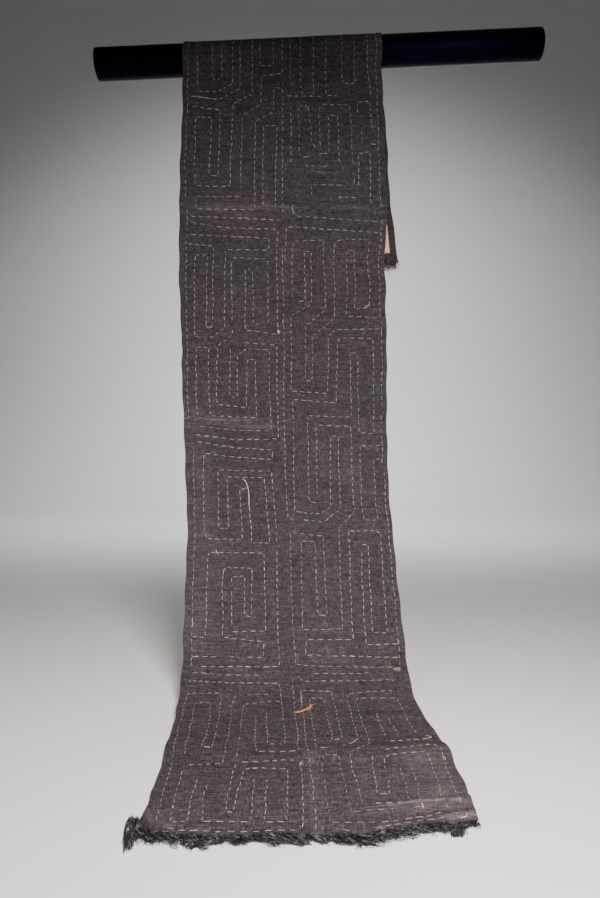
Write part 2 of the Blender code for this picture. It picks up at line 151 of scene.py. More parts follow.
# Rows of points behind a rim, then two more in a hem and one more in a lap
RIM_STEPS = (0.0, 0.00015, 0.0005, 0.0011, 0.0026)
HEM_STEPS = (0.006, 0.010)
LAP_STEP = 0.007
SURFACE_REACH = 0.002
# How uneven the cloth is, as layers of (bump size, height, seed)
UNEVEN_LAYERS = ((0.035, 0.0005, 3), (0.11, 0.0010, 4))
# The puckers of the seams, and how far and how often their pace drifts
PUCKER_LENGTH, PUCKER_HEIGHT, PUCKER_REACH = 0.017, 0.0004, 0.012
PUCKER_DRIFT, PUCKER_DRIFT_PACE = 2, 31
# Pale lines along the seams and along the fold over the bar, and how far they reach: partly wear, partly a
# painted highlight where light catches the folded edge
SEAM_WEAR_AND_HIGHLIGHT = {"back_seam": 0.3, "upper_seam": 0.50, "middle_seam": 0.22, "floor_seam": 0.10, "wrap_12": 0.30}
SEAM_LINE_REACH = 0.0035
SELVEDGE_WEAR = 0.4
SELVEDGE_WEAR_REACH = 0.0016

# Creases, from one place on the cloth to another, each in centimetres from its left edge and past the seam
# named. Then the height and the half width, in metres.
CREASES = {
    "floor_seam": (
        (43, 17.4, 60, 15.8, -0.0026, 0.006), (43, 19.6, 60, 18.2, 0.0022, 0.010),
        (40, 21.8, 54, 21.2, -0.0018, 0.006), (0, 56.8, 19, 57.2, 0.0022, 0.007),
        (2, 33.5, 27, 34.5, 0.0016, 0.016), (8, 3, 30, 2.2, -0.0012, 0.010),
        (38, 58.4, 60, 57.2, 0.0022, 0.004), (40, 57, 60, 55.9, -0.0016, 0.005),
        (52, 61.4, 60, 61, 0.0018, 0.012), (20, 41, 56, 38.6, 0.0018, 0.014),
        (10, 34, 57, 31.8, -0.0020, 0.017), (53.4, 59.2, 56.2, 62.8, -0.0022, 0.003),
    ),
    "middle_seam": (
        (34, 1, 60, 2.8, -0.0018, 0.005), (0, 7, 30, 8.6, 0.0011, 0.012),
    ),
    "upper_seam": (
        (36, -11, 52, -10.4, 0.0012, 0.010), (30, -31.6, 60, -31.8, -0.0012, 0.006),
    ),
}
CREASE_ENDS = (-0.05, 0.15)
CREASE_WANDER = 0.004
CREASE_WANDER_LENGTH = 0.06

# Worn places and painted light, likewise, with how strongly each is marked in place of the height. Above 0 a
# place is drawn paler: wear, painted highlights on ridge crests, fold tops and seam edges, and a painted pool
# of light along the floor panel's right side. Below 0 it is drawn darker: painted shade in creases, under
# small folds and over slopes and patches turned from the light.
WEAR_AND_PAINTED_SHADING = {
    "floor_seam": (
        (39, 58.3, 60, 57.2, 1.6, 0.0026), (55, 61.8, 60, 61.8, 1.4, 0.0095),
        (50, 59.4, 60, 58.8, 0.4, 0.0110), (0, 60, 6, 62.6, 0.25, 0.0120), (54, 42, 57, 57, 0.42, 0.0450),
        (8, 36, 28, 46, -0.09, 0.0800), (32, 31, 50, 31.6, -0.09, 0.0300),
        (52, 30.6, 58, 30, -0.16, 0.0200), (29, 59.6, 40, 60, -0.08, 0.0220),
        (28, 8, 28, 22, -0.06, 0.0500), (30.4, 40, 30.9, 63, 0.22, 0.0150),
        (52, 42.5, 60, 41.8, 0.50, 0.0025), (41, 17.2, 60, 15.5, -0.30, 0.0035),
        (31, 54.8, 37, 54.8, -0.30, 0.0025), (53, 43.3, 60, 42.6, -0.25, 0.0030),
        (2.5, 42.7, 12.5, 41.8, -0.30, 0.0030), (2, 52.6, 4.5, 52.8, -0.40, 0.0030),
        (16.5, 38.1, 28, 38.6, -0.20, 0.0090), (11, 56.7, 13, 57.7, -0.30, 0.0025),
        (12, 54.8, 13, 55.3, -0.40, 0.0025), (47, 30, 47.6, 37, -0.20, 0.0110),
    ),
    "middle_seam": (
        (3, -4, 4, 60, 0.20, 0.0550), (50, 14, 57, 26, 0.12, 0.0500), (0, -0.8, 26, 0.2, 0.55, 0.0120),
    ),
    "upper_seam": (
        (4, 0.5, 26, 0.8, 0.30, 0.0220), (30.6, -31.9, 42.5, -31.7, -0.35, 0.0035),
        (38, -24.9, 42.5, -24.9, -0.35, 0.0035), (9.4, -24.2, 15.5, -24.4, -0.30, 0.0030),
        (15, -28.6, 19.5, -28.8, -0.25, 0.0060), (37.5, -10.5, 49, -9.8, 0.50, 0.0028),
    ),
}


def section_points():
    """The names, left ends, right ends and distances along the cloth of all sections, from its back end."""
    middle = np.array(BAR_MIDDLE)
    names, lefts, rights = [], [], []

    def add_row(row):
        section = dict(zip(COLUMNS, row))
        names.append(section["name"])
        for ends, side, sign in ((lefts, "left", -1), (rights, "right", 1)):
            y = middle[1] - section["forward"] - sign * section["swing"] / 2
            ends.append((section[side], y, section["height"] + sign * section["lift"] / 2))

    for row in BACK_SECTIONS:
        add_row(row)
    radius = (BAR_RADIUS + PIECE_GAP) / math.cos(math.pi / WRAP_STEPS / 2)
    creep = radius * math.pi * math.tan(BAR_TILT)
    for step in range(WRAP_STEPS + 1):
        share = step / WRAP_STEPS
        angle = math.pi * (1 - share)
        round_bar = radius * (BAR_FRONT * math.cos(angle) + BAR_UP * math.sin(angle))
        names.append(f"wrap_{step}")
        for ends, place in ((lefts, LEFT_ON_BAR), (rights, RIGHT_ON_BAR)):
            ends.append(middle + BAR_ALONG * (place + creep * (1 - share)) + round_bar)
    for row in FRONT_SECTIONS:
        add_row(row)
    left, right = np.array(lefts), np.array(rights)
    steps = np.linalg.norm(np.diff((left + right) / 2, axis=0), axis=1)
    return names, left, right, np.concatenate([[0.0], np.cumsum(steps)])


NAMES, LEFT_POINTS, RIGHT_POINTS, DISTANCES = section_points()
PLACE = dict(zip(NAMES, DISTANCES))
CLOTH_LENGTH = DISTANCES[-1]
BAR_BACK = PLACE["wrap_0"]
BAR_FACE = PLACE[f"wrap_{WRAP_STEPS}"]
SEAMS = ("back_seam", "upper_seam", "middle_seam", "floor_seam")
BACK_SEAM, UPPER_SEAM, MIDDLE_SEAM, FLOOR_SEAM = (PLACE[seam] for seam in SEAMS)
# Which way the flap under each seam runs from it along the cloth
FLAP_SIDES = np.array([1, -1, -1, -1])
# How far a weft thread runs off a section at the right edge, at places along the cloth
SKEWS = ((0.0, 0.0), (BAR_BACK, 0.0135), (BAR_FACE, 0.019), (UPPER_SEAM, 0.0))

# The panels, and what each has at its two ends: a hem, a lap over its neighbour, or an end under one.
PANEL_COLUMNS = ("name", "node", "start", "end", "at_start", "at_end", "hem")
PANEL_ROWS = (
    ("cloth_back", "panel_back", 0.0, BACK_SEAM + SEAM_LAP, "hem", "under", BACK_HEM_WIDTH),
    ("cloth_over_bar", "panel_over_bar", BACK_SEAM, UPPER_SEAM, "lap", "lap", HEM_WIDTH),
    ("cloth_upper", "panel_upper", UPPER_SEAM - SEAM_LAP, MIDDLE_SEAM, "under", "lap", HEM_WIDTH),
    ("cloth_lower", "panel_lower", MIDDLE_SEAM - SEAM_LAP, FLOOR_SEAM, "under", "lap", HEM_WIDTH),
    ("cloth_floor", "panel_floor", FLOOR_SEAM - SEAM_LAP, CLOTH_LENGTH, "under", "hem", HEM_WIDTH),
)
PANELS = [dict(zip(PANEL_COLUMNS, row)) for row in PANEL_ROWS]


def smooth(value, low, high):
    """0 below low, 1 above high, and a smooth step between."""
    share = np.clip((value - low) / (high - low), 0.0, 1.0)
    return share * share * (3 - 2 * share)


def unit(vectors):
    """Vectors brought to length 1."""
    return vectors / np.linalg.norm(vectors, axis=-1, keepdims=True)


def soft_noise(u, v, size, seed):
    """Smooth noise from 0 to 1 over places in metres, with bumps about size across."""
    cells = 64
    lattice = np.random.default_rng(seed).random((cells, cells))
    x, y = np.broadcast_arrays(u / size, v / size)
    column, row = np.floor(x).astype(int), np.floor(y).astype(int)
    across, along = smooth(x - column, 0, 1), smooth(y - row, 0, 1)
    left, right = column % cells, (column + 1) % cells
    low, high = row % cells, (row + 1) % cells
    first = lattice[low, left] * (1 - across) + lattice[low, right] * across
    second = lattice[high, left] * (1 - across) + lattice[high, right] * across
    return first * (1 - along) + second * along


def uneven(distance, lengths, phase):
    """A slow wave between about -1 and 1, from two wavelengths that don't repeat together."""
    short, long = lengths
    wave = WAVE_SHARES[0] * np.sin(math.tau * distance / short + phase)
    return wave + WAVE_SHARES[1] * np.sin(math.tau * distance / long + PHASE_RATIO * phase)


def edge_points(distance):
    """The cloth's left and right edge at each distance, on a cubic through the sections."""
    last = len(DISTANCES) - 1
    k = np.clip(np.searchsorted(DISTANCES, distance, side="right") - 1, 0, last - 1)
    before, after = np.maximum(k - 1, 0), np.minimum(k + 2, last)
    span = DISTANCES[k + 1] - DISTANCES[k]
    share = ((distance - DISTANCES[k]) / span)[:, None]
    edges = []
    for side in (LEFT_POINTS, RIGHT_POINTS):
        slope_start = (side[k + 1] - side[before]) / (DISTANCES[k + 1] - DISTANCES[before])[:, None]
        slope_end = (side[after] - side[k]) / (DISTANCES[after] - DISTANCES[k])[:, None]
        edges.append(
            side[k] * (2 * share**3 - 3 * share**2 + 1)
            + slope_start * span[:, None] * (share**3 - 2 * share**2 + share)
            + side[k + 1] * (3 * share**2 - 2 * share**3)
            + slope_end * span[:, None] * (share**3 - share**2)
        )
    return edges


def ripple(distance, across):
    """How far a hanging selvedge stands off its plane, fading out towards the bar, the end and the floor."""
    bend = PLACE["bend"]
    room = np.minimum.reduce(
        [np.abs(distance - BAR_BACK), np.abs(distance - BAR_FACE), np.abs(distance - bend), distance]
    )
    hanging = (distance < BAR_BACK) | ((distance > BAR_FACE) & (distance < bend))
    fade = np.minimum(1.0, room / RIPPLE_FADE) ** 2
    near_edge = np.maximum(0.0, (np.abs(across) - 1 + RIPPLE_WIDTH) / RIPPLE_WIDTH) ** 2
    wave = uneven(distance, EDGE_RIPPLE_LENGTHS, np.where(across < 0, *EDGE_RIPPLE_PHASES))
    return np.where(hanging, EDGE_RIPPLE * fade * near_edge * wave, 0.0)


def fold_height(distance, across):
    """How far the folds lift the cloth off its smooth course."""
    lifted = np.zeros_like(distance)
    for row in FOLDS:
        fold = dict(zip(FOLD_COLUMNS, row))
        centre = fold["centre_left"] + (fold["centre_right"] - fold["centre_left"]) * (across + 1) / 2
        beside = np.minimum(np.abs(distance - centre) / fold["half_width"], 1.0)
        risen = np.clip((across - fold["begins"]) / (fold["full"] - fold["begins"]), 0.0, 1.0)
        lifted += fold["height"] * risen * (0.5 + 0.5 * np.cos(math.pi * beside))
    return lifted


def underside(distance, across):
    """Points of the cloth's underside. across runs from -1 at the left edge to 1 at the right edge."""
    distance = np.clip(distance, 0.0, CLOTH_LENGTH)
    left, right = edge_points(distance)
    for edge, phase in zip((left, right), EDGE_WAVER_PHASES):
        edge[:, 0] += EDGE_WAVER * uneven(distance, EDGE_WAVER_LENGTHS, phase)
    for side, place, half_length, shift in EDGE_DENTS:
        edge = left if side < 0 else right
        edge[:, 0] += shift * np.exp(-(((distance - place) / half_length) ** 2))
    point = left + (right - left) * ((across + 1) / 2)[:, None]
    point[:, 1] -= ripple(distance, across)
    into_end = np.maximum(0.0, 1 - (CLOTH_LENGTH - distance) / END_BOW_LENGTH)
    point[:, 1] -= np.interp(across, *zip(*END_BOWS)) * into_end**2
    stretched = smooth(distance, CLOTH_LENGTH - END_STRETCH_LENGTH, CLOTH_LENGTH)
    point[:, 1] -= np.interp(across, *zip(*END_STRETCH)) * stretched
    point[:, 2] = np.maximum(point[:, 2], 0.0) + fold_height(distance, across)
    point[:, 2] -= BACK_STRETCH * (1 - smooth(distance, 0.0, BACK_STRETCH_LENGTH))
    return point


def outward(distance, across):
    """The direction from the underside to the face of the cloth."""
    reach = SURFACE_REACH
    distance = np.clip(distance, reach, CLOTH_LENGTH - reach)
    along = underside(distance + reach, across) - underside(distance - reach, across)
    sideways = underside(distance, across + reach) - underside(distance, across - reach)
    return unit(np.cross(along, sideways))


def row_skew(distance):
    """How far a weft thread runs off a section, at the right edge: the weft is square to the selvedges."""
    return np.interp(distance, *zip(*SKEWS))


def woven_place(distance, across):
    """Where a point is on the cloth laid flat: metres from its left edge and from its back end."""
    return (across + 1) / 2 * CLOTH_WIDTH, distance - row_skew(distance) * across


def draped_place(u, v):
    """The distance and across of a point given in metres on the cloth laid flat."""
    across = u / CLOTH_WIDTH * 2 - 1
    return v + row_skew(v) * across, across


def charted_lines(chart, u, v):
    """For each line of a chart: how far along it each place is, as a share, how far off it, across and along
    the cloth in metres, and the line's strength and half width."""
    for seam, rows in chart.items():
        for from_u, from_v, to_u, to_v, strength, half_width in rows:
            start = np.array([from_u, from_v]) / 100
            run = np.array([to_u, to_v]) / 100 - start
            beside, ahead = u - start[0], v - PLACE[seam] - start[1]
            share = (beside * run[0] + ahead * run[1]) / (run @ run)
            inside = np.clip(share, 0, 1)
            yield share, beside - run[0] * inside, ahead - run[1] * inside, strength, half_width


def crease_height(distance, across):
    """How far creases, waves and puckers stand off the drape."""
    u, v = woven_place(distance, across)
    height = np.zeros_like(distance)
    for size, deep, seed in UNEVEN_LAYERS:
        height += deep * soft_noise(u, v + 1, size, seed)
    wander = CREASE_WANDER * (soft_noise(u, v * 0, CREASE_WANDER_LENGTH, CREASE_SEED) - 0.5)
    for share, beside, ahead, high, half_width in charted_lines(CREASES, u, v):
        shape = np.exp(-2 * (np.hypot(beside, ahead + wander) / half_width) ** 2)
        height += high * shape * smooth(share, *CREASE_ENDS) * smooth(1 - share, *CREASE_ENDS)
    for seam in SEAMS:
        near = np.exp(-(((distance - PLACE[seam]) / PUCKER_REACH) ** 2))
        wave = 0.5 + 0.5 * np.sin(math.tau * u / PUCKER_LENGTH + PUCKER_DRIFT * np.sin(u * PUCKER_DRIFT_PACE))
        height += PUCKER_HEIGHT * near * wave
    on_floor = distance > PLACE["floor_flat"]
    return np.where(on_floor, np.maximum(height, 0.0), height)


def wear_and_painted_shading_of(distance, across):
    """How pale each place is drawn, from 0 to 1, for wear and painted highlights. Below 0, how dark, as
    painted shade.
    """
    from_edge = (1 - np.abs(across)) * CLOTH_WIDTH / 2
    wear_and_shading = SELVEDGE_WEAR * np.exp(-((from_edge / SELVEDGE_WEAR_REACH) ** 2))
    for seam, amount in SEAM_WEAR_AND_HIGHLIGHT.items():
        wear_and_shading = np.maximum(wear_and_shading, amount * np.exp(-(((distance - PLACE[seam]) / SEAM_LINE_REACH) ** 2)))
    # Charted rows below 0 are painted shade. Those above 0 are wear and painted highlights.
    painted_shade = np.zeros_like(wear_and_shading)
    for _, beside, ahead, amount, half_width in charted_lines(WEAR_AND_PAINTED_SHADING, *woven_place(distance, across)):
        here = amount * np.exp(-((np.hypot(beside, ahead) / half_width) ** 2))
        if amount > 0:
            wear_and_shading = np.maximum(wear_and_shading, here)
        else:
            painted_shade += here
    return wear_and_shading + painted_shade


def sheet_offsets(panel, distance, across):
    """How far a panel's face and its reverse lie off the drape."""
    edge = (1 - np.abs(across)) * CLOTH_WIDTH / 2
    from_start, from_end = distance - panel["start"], panel["end"] - distance
    width = panel["hem"]
    side_hem = 1 - smooth(edge, width, width + HEM_STEP)
    hem, strip, lap, rim = side_hem, edge < width, np.zeros_like(edge), edge
    for kind, off in ((panel["at_start"], from_start), (panel["at_end"], from_end)):
        if kind == "hem":
            hem = np.maximum(hem, 1 - smooth(off, width, width + HEM_STEP))
            strip = strip | (off < width)
        if kind == "lap":
            lap = np.maximum(lap, 1 - smooth(off, SEAM_LAP, SEAM_LAP + SEAM_RAMP))
        rim = np.minimum(rim, off)
    raised = crease_height(distance, across) + lap * (LAP_RAISE + SHEET * side_hem)
    face = raised + REVERSE_LIFT + SHEET * (1 + hem)
    reverse = raised + REVERSE_LIFT + np.where(strip, 0.0, SHEET * hem)
    half = (face - reverse) / 2
    turn = np.clip(1 - rim / half, 0.0, 1.0)
    drop = half * (1 - np.sqrt(1 - turn**2))
    return face - drop, reverse + drop


def chosen_offsets(distance, across, on_face):
    """How far the cloth's outermost face, or its innermost reverse, lies off the drape."""
    seams = np.array([PLACE[seam] for seam in SEAMS])
    if not on_face:
        seams = seams + FLAP_SIDES * SEAM_LAP
    index = np.searchsorted(seams, distance)
    offset = np.zeros_like(distance)
    for k, panel in enumerate(PANELS):
        here = index == k
        if here.any():
            face, reverse = sheet_offsets(panel, distance[here], across[here])
            offset[here] = face if on_face else reverse
    return offset


def on_cloth(distance, across, lift, on_face=True):
    """Points that stand off the cloth's face, or its reverse, by lift, and the directions away from it."""
    normal = outward(distance, across)
    offset = chosen_offsets(distance, across, on_face)
    sign = 1 if on_face else -1
    return underside(distance, across) + normal * (offset + sign * lift)[:, None], normal * sign


# Materials

# A Mix node's sockets for colours, by number: the share, the first and the second colour, and the result
MIX_SHARE, MIX_FIRST, MIX_SECOND, MIX_RESULT = 0, 6, 7, 2


class Shader:
    """A material's node tree, with short calls for the nodes used here."""

    def __init__(self, name, roughness, specular):
        self.material = bpy.data.materials.new(name)
        self.material.use_nodes = True
        self.tree = self.material.node_tree
        self.surface = self.tree.nodes["Principled BSDF"]
        self.surface.inputs["Roughness"].default_value = roughness
        self.surface.inputs["Specular IOR Level"].default_value = specular

    def node(self, kind, inputs, output=0, **settings):
        """A new node's output socket. An input is a number, a colour or another node's output."""
        node = self.tree.nodes.new(kind)
        for key, value in settings.items():
            setattr(node, key, value)
        for key, value in inputs.items():
            if isinstance(value, bpy.types.NodeSocket):
                self.tree.links.new(value, node.inputs[key])
            else:
                node.inputs[key].default_value = value
        return node.outputs[output]

    def position(self):
        """The place in the piece's own space, in metres."""
        return self.node("ShaderNodeTexCoord", {}, output="Object")

    def attribute(self, name, output="Fac"):
        return self.node("ShaderNodeAttribute", {}, output=output, attribute_name=name)

    def noise(self, places, factors, detail=2.0, roughness=0.5):
        """Noise from 0 to 1 over places that are first stretched by factors."""
        vector = self.node("ShaderNodeVectorMath", {0: places, 1: factors}, operation="MULTIPLY")
        inputs = {"Vector": vector, "Scale": 1.0, "Detail": detail, "Roughness": roughness}
        return self.node("ShaderNodeTexNoise", inputs, output="Fac")

    def range(self, value, low, high, to_low, to_high, kind="SMOOTHSTEP"):
        inputs = {"Value": value, "From Min": low, "From Max": high, "To Min": to_low, "To Max": to_high}
        return self.node("ShaderNodeMapRange", inputs, interpolation_type=kind)

    def patches(self, places, look, low=0.0, high=1.0):
        """Patches of a look: low outside them, and high inside."""
        factors, detail, roughness, begins, full = look
        return self.range(self.noise(places, factors, detail, roughness), begins, full, low, high)

    def math(self, operation, first, second):
        return self.node("ShaderNodeMath", {0: first, 1: second}, operation=operation)

    def mix(self, share, first, second):
        """Colours mixed by a share from 0 to 1."""
        inputs = {MIX_SHARE: share}
        for socket, colour in ((MIX_FIRST, first), (MIX_SECOND, second)):
            inputs[socket] = colour if isinstance(colour, bpy.types.NodeSocket) else (*colour, 1)
        return self.node("ShaderNodeMix", inputs, MIX_RESULT, data_type="RGBA")

    def scaled(self, colour, factor):
        """A colour times a number."""
        return self.node("ShaderNodeVectorMath", {0: colour, "Scale": factor}, operation="SCALE")

    def finish(self, colour, height=None, distance=None, strength=None):
        """Links the colour, and a height as bump, to the surface."""
        self.tree.links.new(colour, self.surface.inputs["Base Color"])
        if height is not None:
            inputs = {"Height": height, "Distance": distance, "Strength": strength}
            self.tree.links.new(self.node("ShaderNodeBump", inputs), self.surface.inputs["Normal"])
        return self.material


THREAD_PITCH = 0.00115
# How threads wander: how often in a metre, and how far, in radians, for the warp and for the weft
THREAD_WANDER = (90, 90, 1)
THREAD_DRIFTS = (1.6, 2.2)
# Painted shade on the weave's low places and painted highlight on its high ones: how dark and how light they
# are drawn, and the weave's share of the bump
WEAVE_PAINTED_SHADING = (0.84, 1.12)
WEAVE_RELIEF = 0.55
# The lines of the weave: how often they vary in a metre across and along the cloth, and how strongly.
WEAVE_LINES = (
    (80, 640, 0.33),
    (50, 290, 0.38),
    (14, 115, 0.20),
    (4, 30, 0.08),
    (620, 70, 0.43),
    (300, 45, 0.26),
    (60, 8, 0.08),
)
LINE_RANGE = (0.33, 0.67)
# Patches of noise: how often they vary in a metre across and along the cloth, detail, roughness, and the
# noise's values where a patch begins and where it is full
BLOTCHES = ((9, 6, 1), 3.0, 0.6, 0.40, 0.60)
STAINS = ((5, 4, 3), 3.0, 0.6, 0.55, 0.68)
SLUBS = ((11, 430, 1), 1.0, 0.5, 0.64, 0.76)
GAPS = ((150, 620, 1), 1.0, 0.5, 0.66, 0.74)
WEAR_AND_HIGHLIGHT_THREADS = ((50, 260, 1), 3.0, 0.5, 0.35, 0.65)
WEAR_AND_HIGHLIGHT_BANDS = ((7, 60, 1), 1.0, 0.5, 0.38, 0.60)
BAR_NAP = ((6, 14, 14), 4.0, 0.6, 0.35, 0.65)
SLUB_SHARE = 0.6
GAP_DEPTH = 0.6
# What of the wear and painted highlight is left between their threads, and between their bands
KEPT_BETWEEN_THREADS, KEPT_BETWEEN_BANDS = 0.1, 0.35
FIBRE_RANGE = (0.3, 0.7)
FIBRE_SHADES = (0.72, 1.2)
PILE = (1500, 1500, 1500)
STUDIO_CLOUD = (0.8, 0.8, 0.8)
# The looks of the cloth's two sides: three grounds, the slubs, the colour of worn places and painted
# highlights, and how strongly the weave varies
DYED = (
    ((0.0530, 0.0415, 0.0463), (0.0470, 0.0385, 0.0440), (0.0445, 0.0388, 0.0445)),
    (0.115, 0.092, 0.094),
    (0.212, 0.163, 0.162),
    1.0,
)
UNDYED = (
    ((0.93, 0.59, 0.37), (0.90, 0.53, 0.31), (0.90, 0.63, 0.43)),
    (0.94, 0.71, 0.50),
    (0.40, 0.27, 0.17),
    0.45,
)
BAR_SHEEN = (0.30, 0.07, 0.88, 1)
BAR_BLACKS = ((0.0008, 0.0006, 0.0012), (0.0018, 0.0013, 0.0026))
STUDIO_PALES = ((0.74, 0.735, 0.725), (0.78, 0.775, 0.765))


def woven_height(shader, places):
    """Over and under threads of a plain weave, from 0 to 1."""
    split = shader.tree.nodes.new("ShaderNodeSeparateXYZ")
    wobble = shader.noise(places, THREAD_WANDER, detail=1.0)
    shader.tree.links.new(places, split.inputs[0])
    waves = []
    for axis, drift in enumerate(THREAD_DRIFTS):
        turns = shader.math("MULTIPLY", split.outputs[axis], math.pi / THREAD_PITCH)
        drifted = shader.math("ADD", turns, shader.math("MULTIPLY", wobble, drift))
        waves.append(shader.math("SINE", drifted, 0.0))
    crossed = shader.math("MULTIPLY", waves[0], waves[1])
    return shader.math("ADD", shader.math("MULTIPLY", crossed, 0.5), 0.5)


def raffia_cloth_material(name, grounds, slub_colour, marked_colour, strength):
    """Raffia weave: weft slubs, fainter warp lines, dye blotches, worn edges, painted highlight and painted
    shade.
    """
    shader = Shader(name, roughness=0.85, specular=0.15)
    places = shader.node("ShaderNodeUVMap", {}, uv_map="cloth")
    ground = shader.mix(shader.patches(places, BLOTCHES), grounds[0], grounds[1])
    ground = shader.mix(shader.patches(places, STAINS), ground, grounds[2])
    tone = 1.0
    for across, along, depth in WEAVE_LINES:
        line = shader.noise(places, (across, along, 1), detail=1.5)
        share = depth * strength
        line_tone = shader.range(line, *LINE_RANGE, 1 - share, 1 + share, "LINEAR")
        tone = shader.math("MULTIPLY", line_tone, tone)
    weave = woven_height(shader, places)
    # Painted shade and highlight of the weave: its low places drawn darker, its high ones lighter
    toned = shader.scaled(ground, shader.math("MULTIPLY", tone, shader.range(weave, 0, 1, *WEAVE_PAINTED_SHADING)))
    colour = shader.mix(shader.patches(places, SLUBS, 0.0, SLUB_SHARE), toned, slub_colour)
    colour = shader.scaled(colour, shader.patches(places, GAPS, 1.0, 1 - GAP_DEPTH * strength))
    # Above 0 the attribute mixes in the colour of worn places and painted highlights. Below 0 it darkens the
    # colour as painted shade.
    wear_and_shading = shader.attribute("wear_and_shading")
    threads = shader.patches(places, WEAR_AND_HIGHLIGHT_THREADS, KEPT_BETWEEN_THREADS)
    bands = shader.patches(places, WEAR_AND_HIGHLIGHT_BANDS, KEPT_BETWEEN_BANDS)
    amount = shader.math("MULTIPLY", wear_and_shading, shader.math("MULTIPLY", threads, bands))
    colour = shader.scaled(colour, shader.range(wear_and_shading, -1, 0, 0, 1, "LINEAR"))
    colour = shader.mix(amount, colour, marked_colour)
    height = shader.math("ADD", shader.math("MULTIPLY", weave, WEAVE_RELIEF), tone)
    return shader.finish(colour, height, distance=0.0006, strength=0.9)


def thread_material(name, fibre_scale, specular):
    """Raffia strips, each in the colour of its own tint, with fine fibres along it."""
    shader = Shader(name, roughness=0.6, specular=specular)
    fibres = shader.noise(shader.position(), (fibre_scale,) * 3)
    tint = shader.attribute("tint", output="Color")
    colour = shader.scaled(tint, shader.range(fibres, *FIBRE_RANGE, *FIBRE_SHADES))
    return shader.finish(colour, fibres, distance=0.0002, strength=0.5)


def bar_material():
    """A black pile cover with a violet sheen."""
    shader = Shader("bar_pile", roughness=0.50, specular=0.06)
    shader.surface.inputs["Specular Tint"].default_value = BAR_SHEEN
    position = shader.position()
    pile = shader.noise(position, PILE, detail=1.0)
    colour = shader.mix(shader.patches(position, BAR_NAP), *BAR_BLACKS)
    return shader.finish(colour, pile, distance=0.0003, strength=0.25)


def stage_material():
    """The studio's pale ground, a little uneven."""
    shader = Shader("studio_pale", roughness=0.95, specular=0.1)
    cloud = shader.noise(shader.position(), STUDIO_CLOUD)
    return shader.finish(shader.mix(cloud, *STUDIO_PALES))


# Meshes


def new_object(name, points, faces, *materials):
    """A smooth-shaded piece in the scene."""
    mesh = bpy.data.meshes.new(name)
    mesh.from_pydata(points.tolist(), [], faces)
    mesh.shade_smooth()
    for material in materials:
        mesh.materials.append(material)
    piece = bpy.data.objects.new(name, mesh)
    bpy.context.scene.collection.objects.link(piece)
    return piece


def panel_columns(panel):
    """Places across a sheet: close together at the selvedges and at the hems' inner edges."""
    hem = panel["hem"]
    edge = [*RIM_STEPS, *HEM_STEPS, hem - HEM_CUT, hem + HEM_CUT, hem + HEM_STEP / 2, hem + HEM_STEP]
    width = CLOTH_WIDTH - 2 * edge[-1]
    count = round(width / GRID_STEP)
    inner = [edge[-1] + width * i / count for i in range(1, count)]
    places = edge + inner + [CLOTH_WIDTH - e for e in reversed(edge)]
    return np.array(places) / CLOTH_WIDTH * 2 - 1


def panel_rows(panel):
    """Distances of a sheet's rows: close together at its ends and at its hem's inner edge."""
    hem = panel["hem"]
    more = {
        "hem": [*HEM_STEPS, hem - HEM_CUT, hem + HEM_CUT, hem + HEM_STEP],
        "lap": [LAP_STEP, SEAM_LAP, SEAM_LAP + SEAM_RAMP / 2, SEAM_LAP + SEAM_RAMP],
        "under": [],
    }
    first = [panel["start"] + step for step in [*RIM_STEPS, *more[panel["at_start"]]]]
    last = [panel["end"] - step for step in reversed([*RIM_STEPS, *more[panel["at_end"]]])]
    low, high = first[-1], last[0]
    count = round((high - low) / GRID_STEP)
    inner = [low + (high - low) * i / count for i in range(1, count)]
    return np.array(first + inner + last)


def add_sheet(panel, face_material, reverse_material):
    """One woven panel: a face and a reverse that share their rims. The hems are folded to the reverse."""
    rows, columns = panel_rows(panel), panel_columns(panel)
    wide = len(columns)
    distance, across = np.repeat(rows, wide), np.tile(columns, len(rows))
    base, normal = underside(distance, across), outward(distance, across)
    face, reverse = sheet_offsets(panel, distance, across)
    inner = np.zeros((len(rows), wide), bool)
    inner[1:-1, 1:-1] = True
    inner = inner.ravel()
    reverse_index = np.arange(len(distance))
    reverse_index[inner] = len(distance) + np.arange(inner.sum())
    points = np.concatenate([base + normal * face[:, None], (base + normal * reverse[:, None])[inner]])

    corner = (np.arange(len(rows) - 1)[:, None] * wide + np.arange(wide - 1)).ravel()
    quads = np.column_stack([corner, corner + wide, corner + wide + 1, corner + 1])
    faces = np.concatenate([quads, reverse_index[quads[:, ::-1]]])
    piece = new_object(panel["name"], points, faces.tolist(), face_material, reverse_material)

    # The last points of a folded hem are HEM_CUT past its width
    hem_reach = panel["hem"] + HEM_CUT * 1.5
    in_hem = (1 - np.abs(across)) * CLOTH_WIDTH / 2 < hem_reach
    for end, off in (("at_start", distance - panel["start"]), ("at_end", panel["end"] - distance)):
        if panel[end] == "hem":
            in_hem |= off < hem_reach
    unfolded = ~in_hem[quads].all(axis=1)
    slots = np.concatenate([np.zeros(len(quads)), unfolded]).astype(np.int32)
    piece.data.polygons.foreach_set("material_index", slots)

    def of_points(values):
        return np.concatenate([values, values[inner]])

    u, v = (of_points(values) for values in woven_place(distance, across))
    loops = np.empty(len(piece.data.loops), np.int32)
    piece.data.loops.foreach_get("vertex_index", loops)
    layer = piece.data.uv_layers.new(name="cloth")
    layer.data.foreach_set("uv", np.column_stack([u[loops], v[loops]]).ravel())
    # The wear, and the painted highlight and painted shade, for the cloth's material to read
    attribute = piece.data.attributes.new("wear_and_shading", "FLOAT", "POINT")
    attribute.data.foreach_set("value", of_points(wear_and_painted_shading_of(distance, across)).astype(np.float32))
    return piece


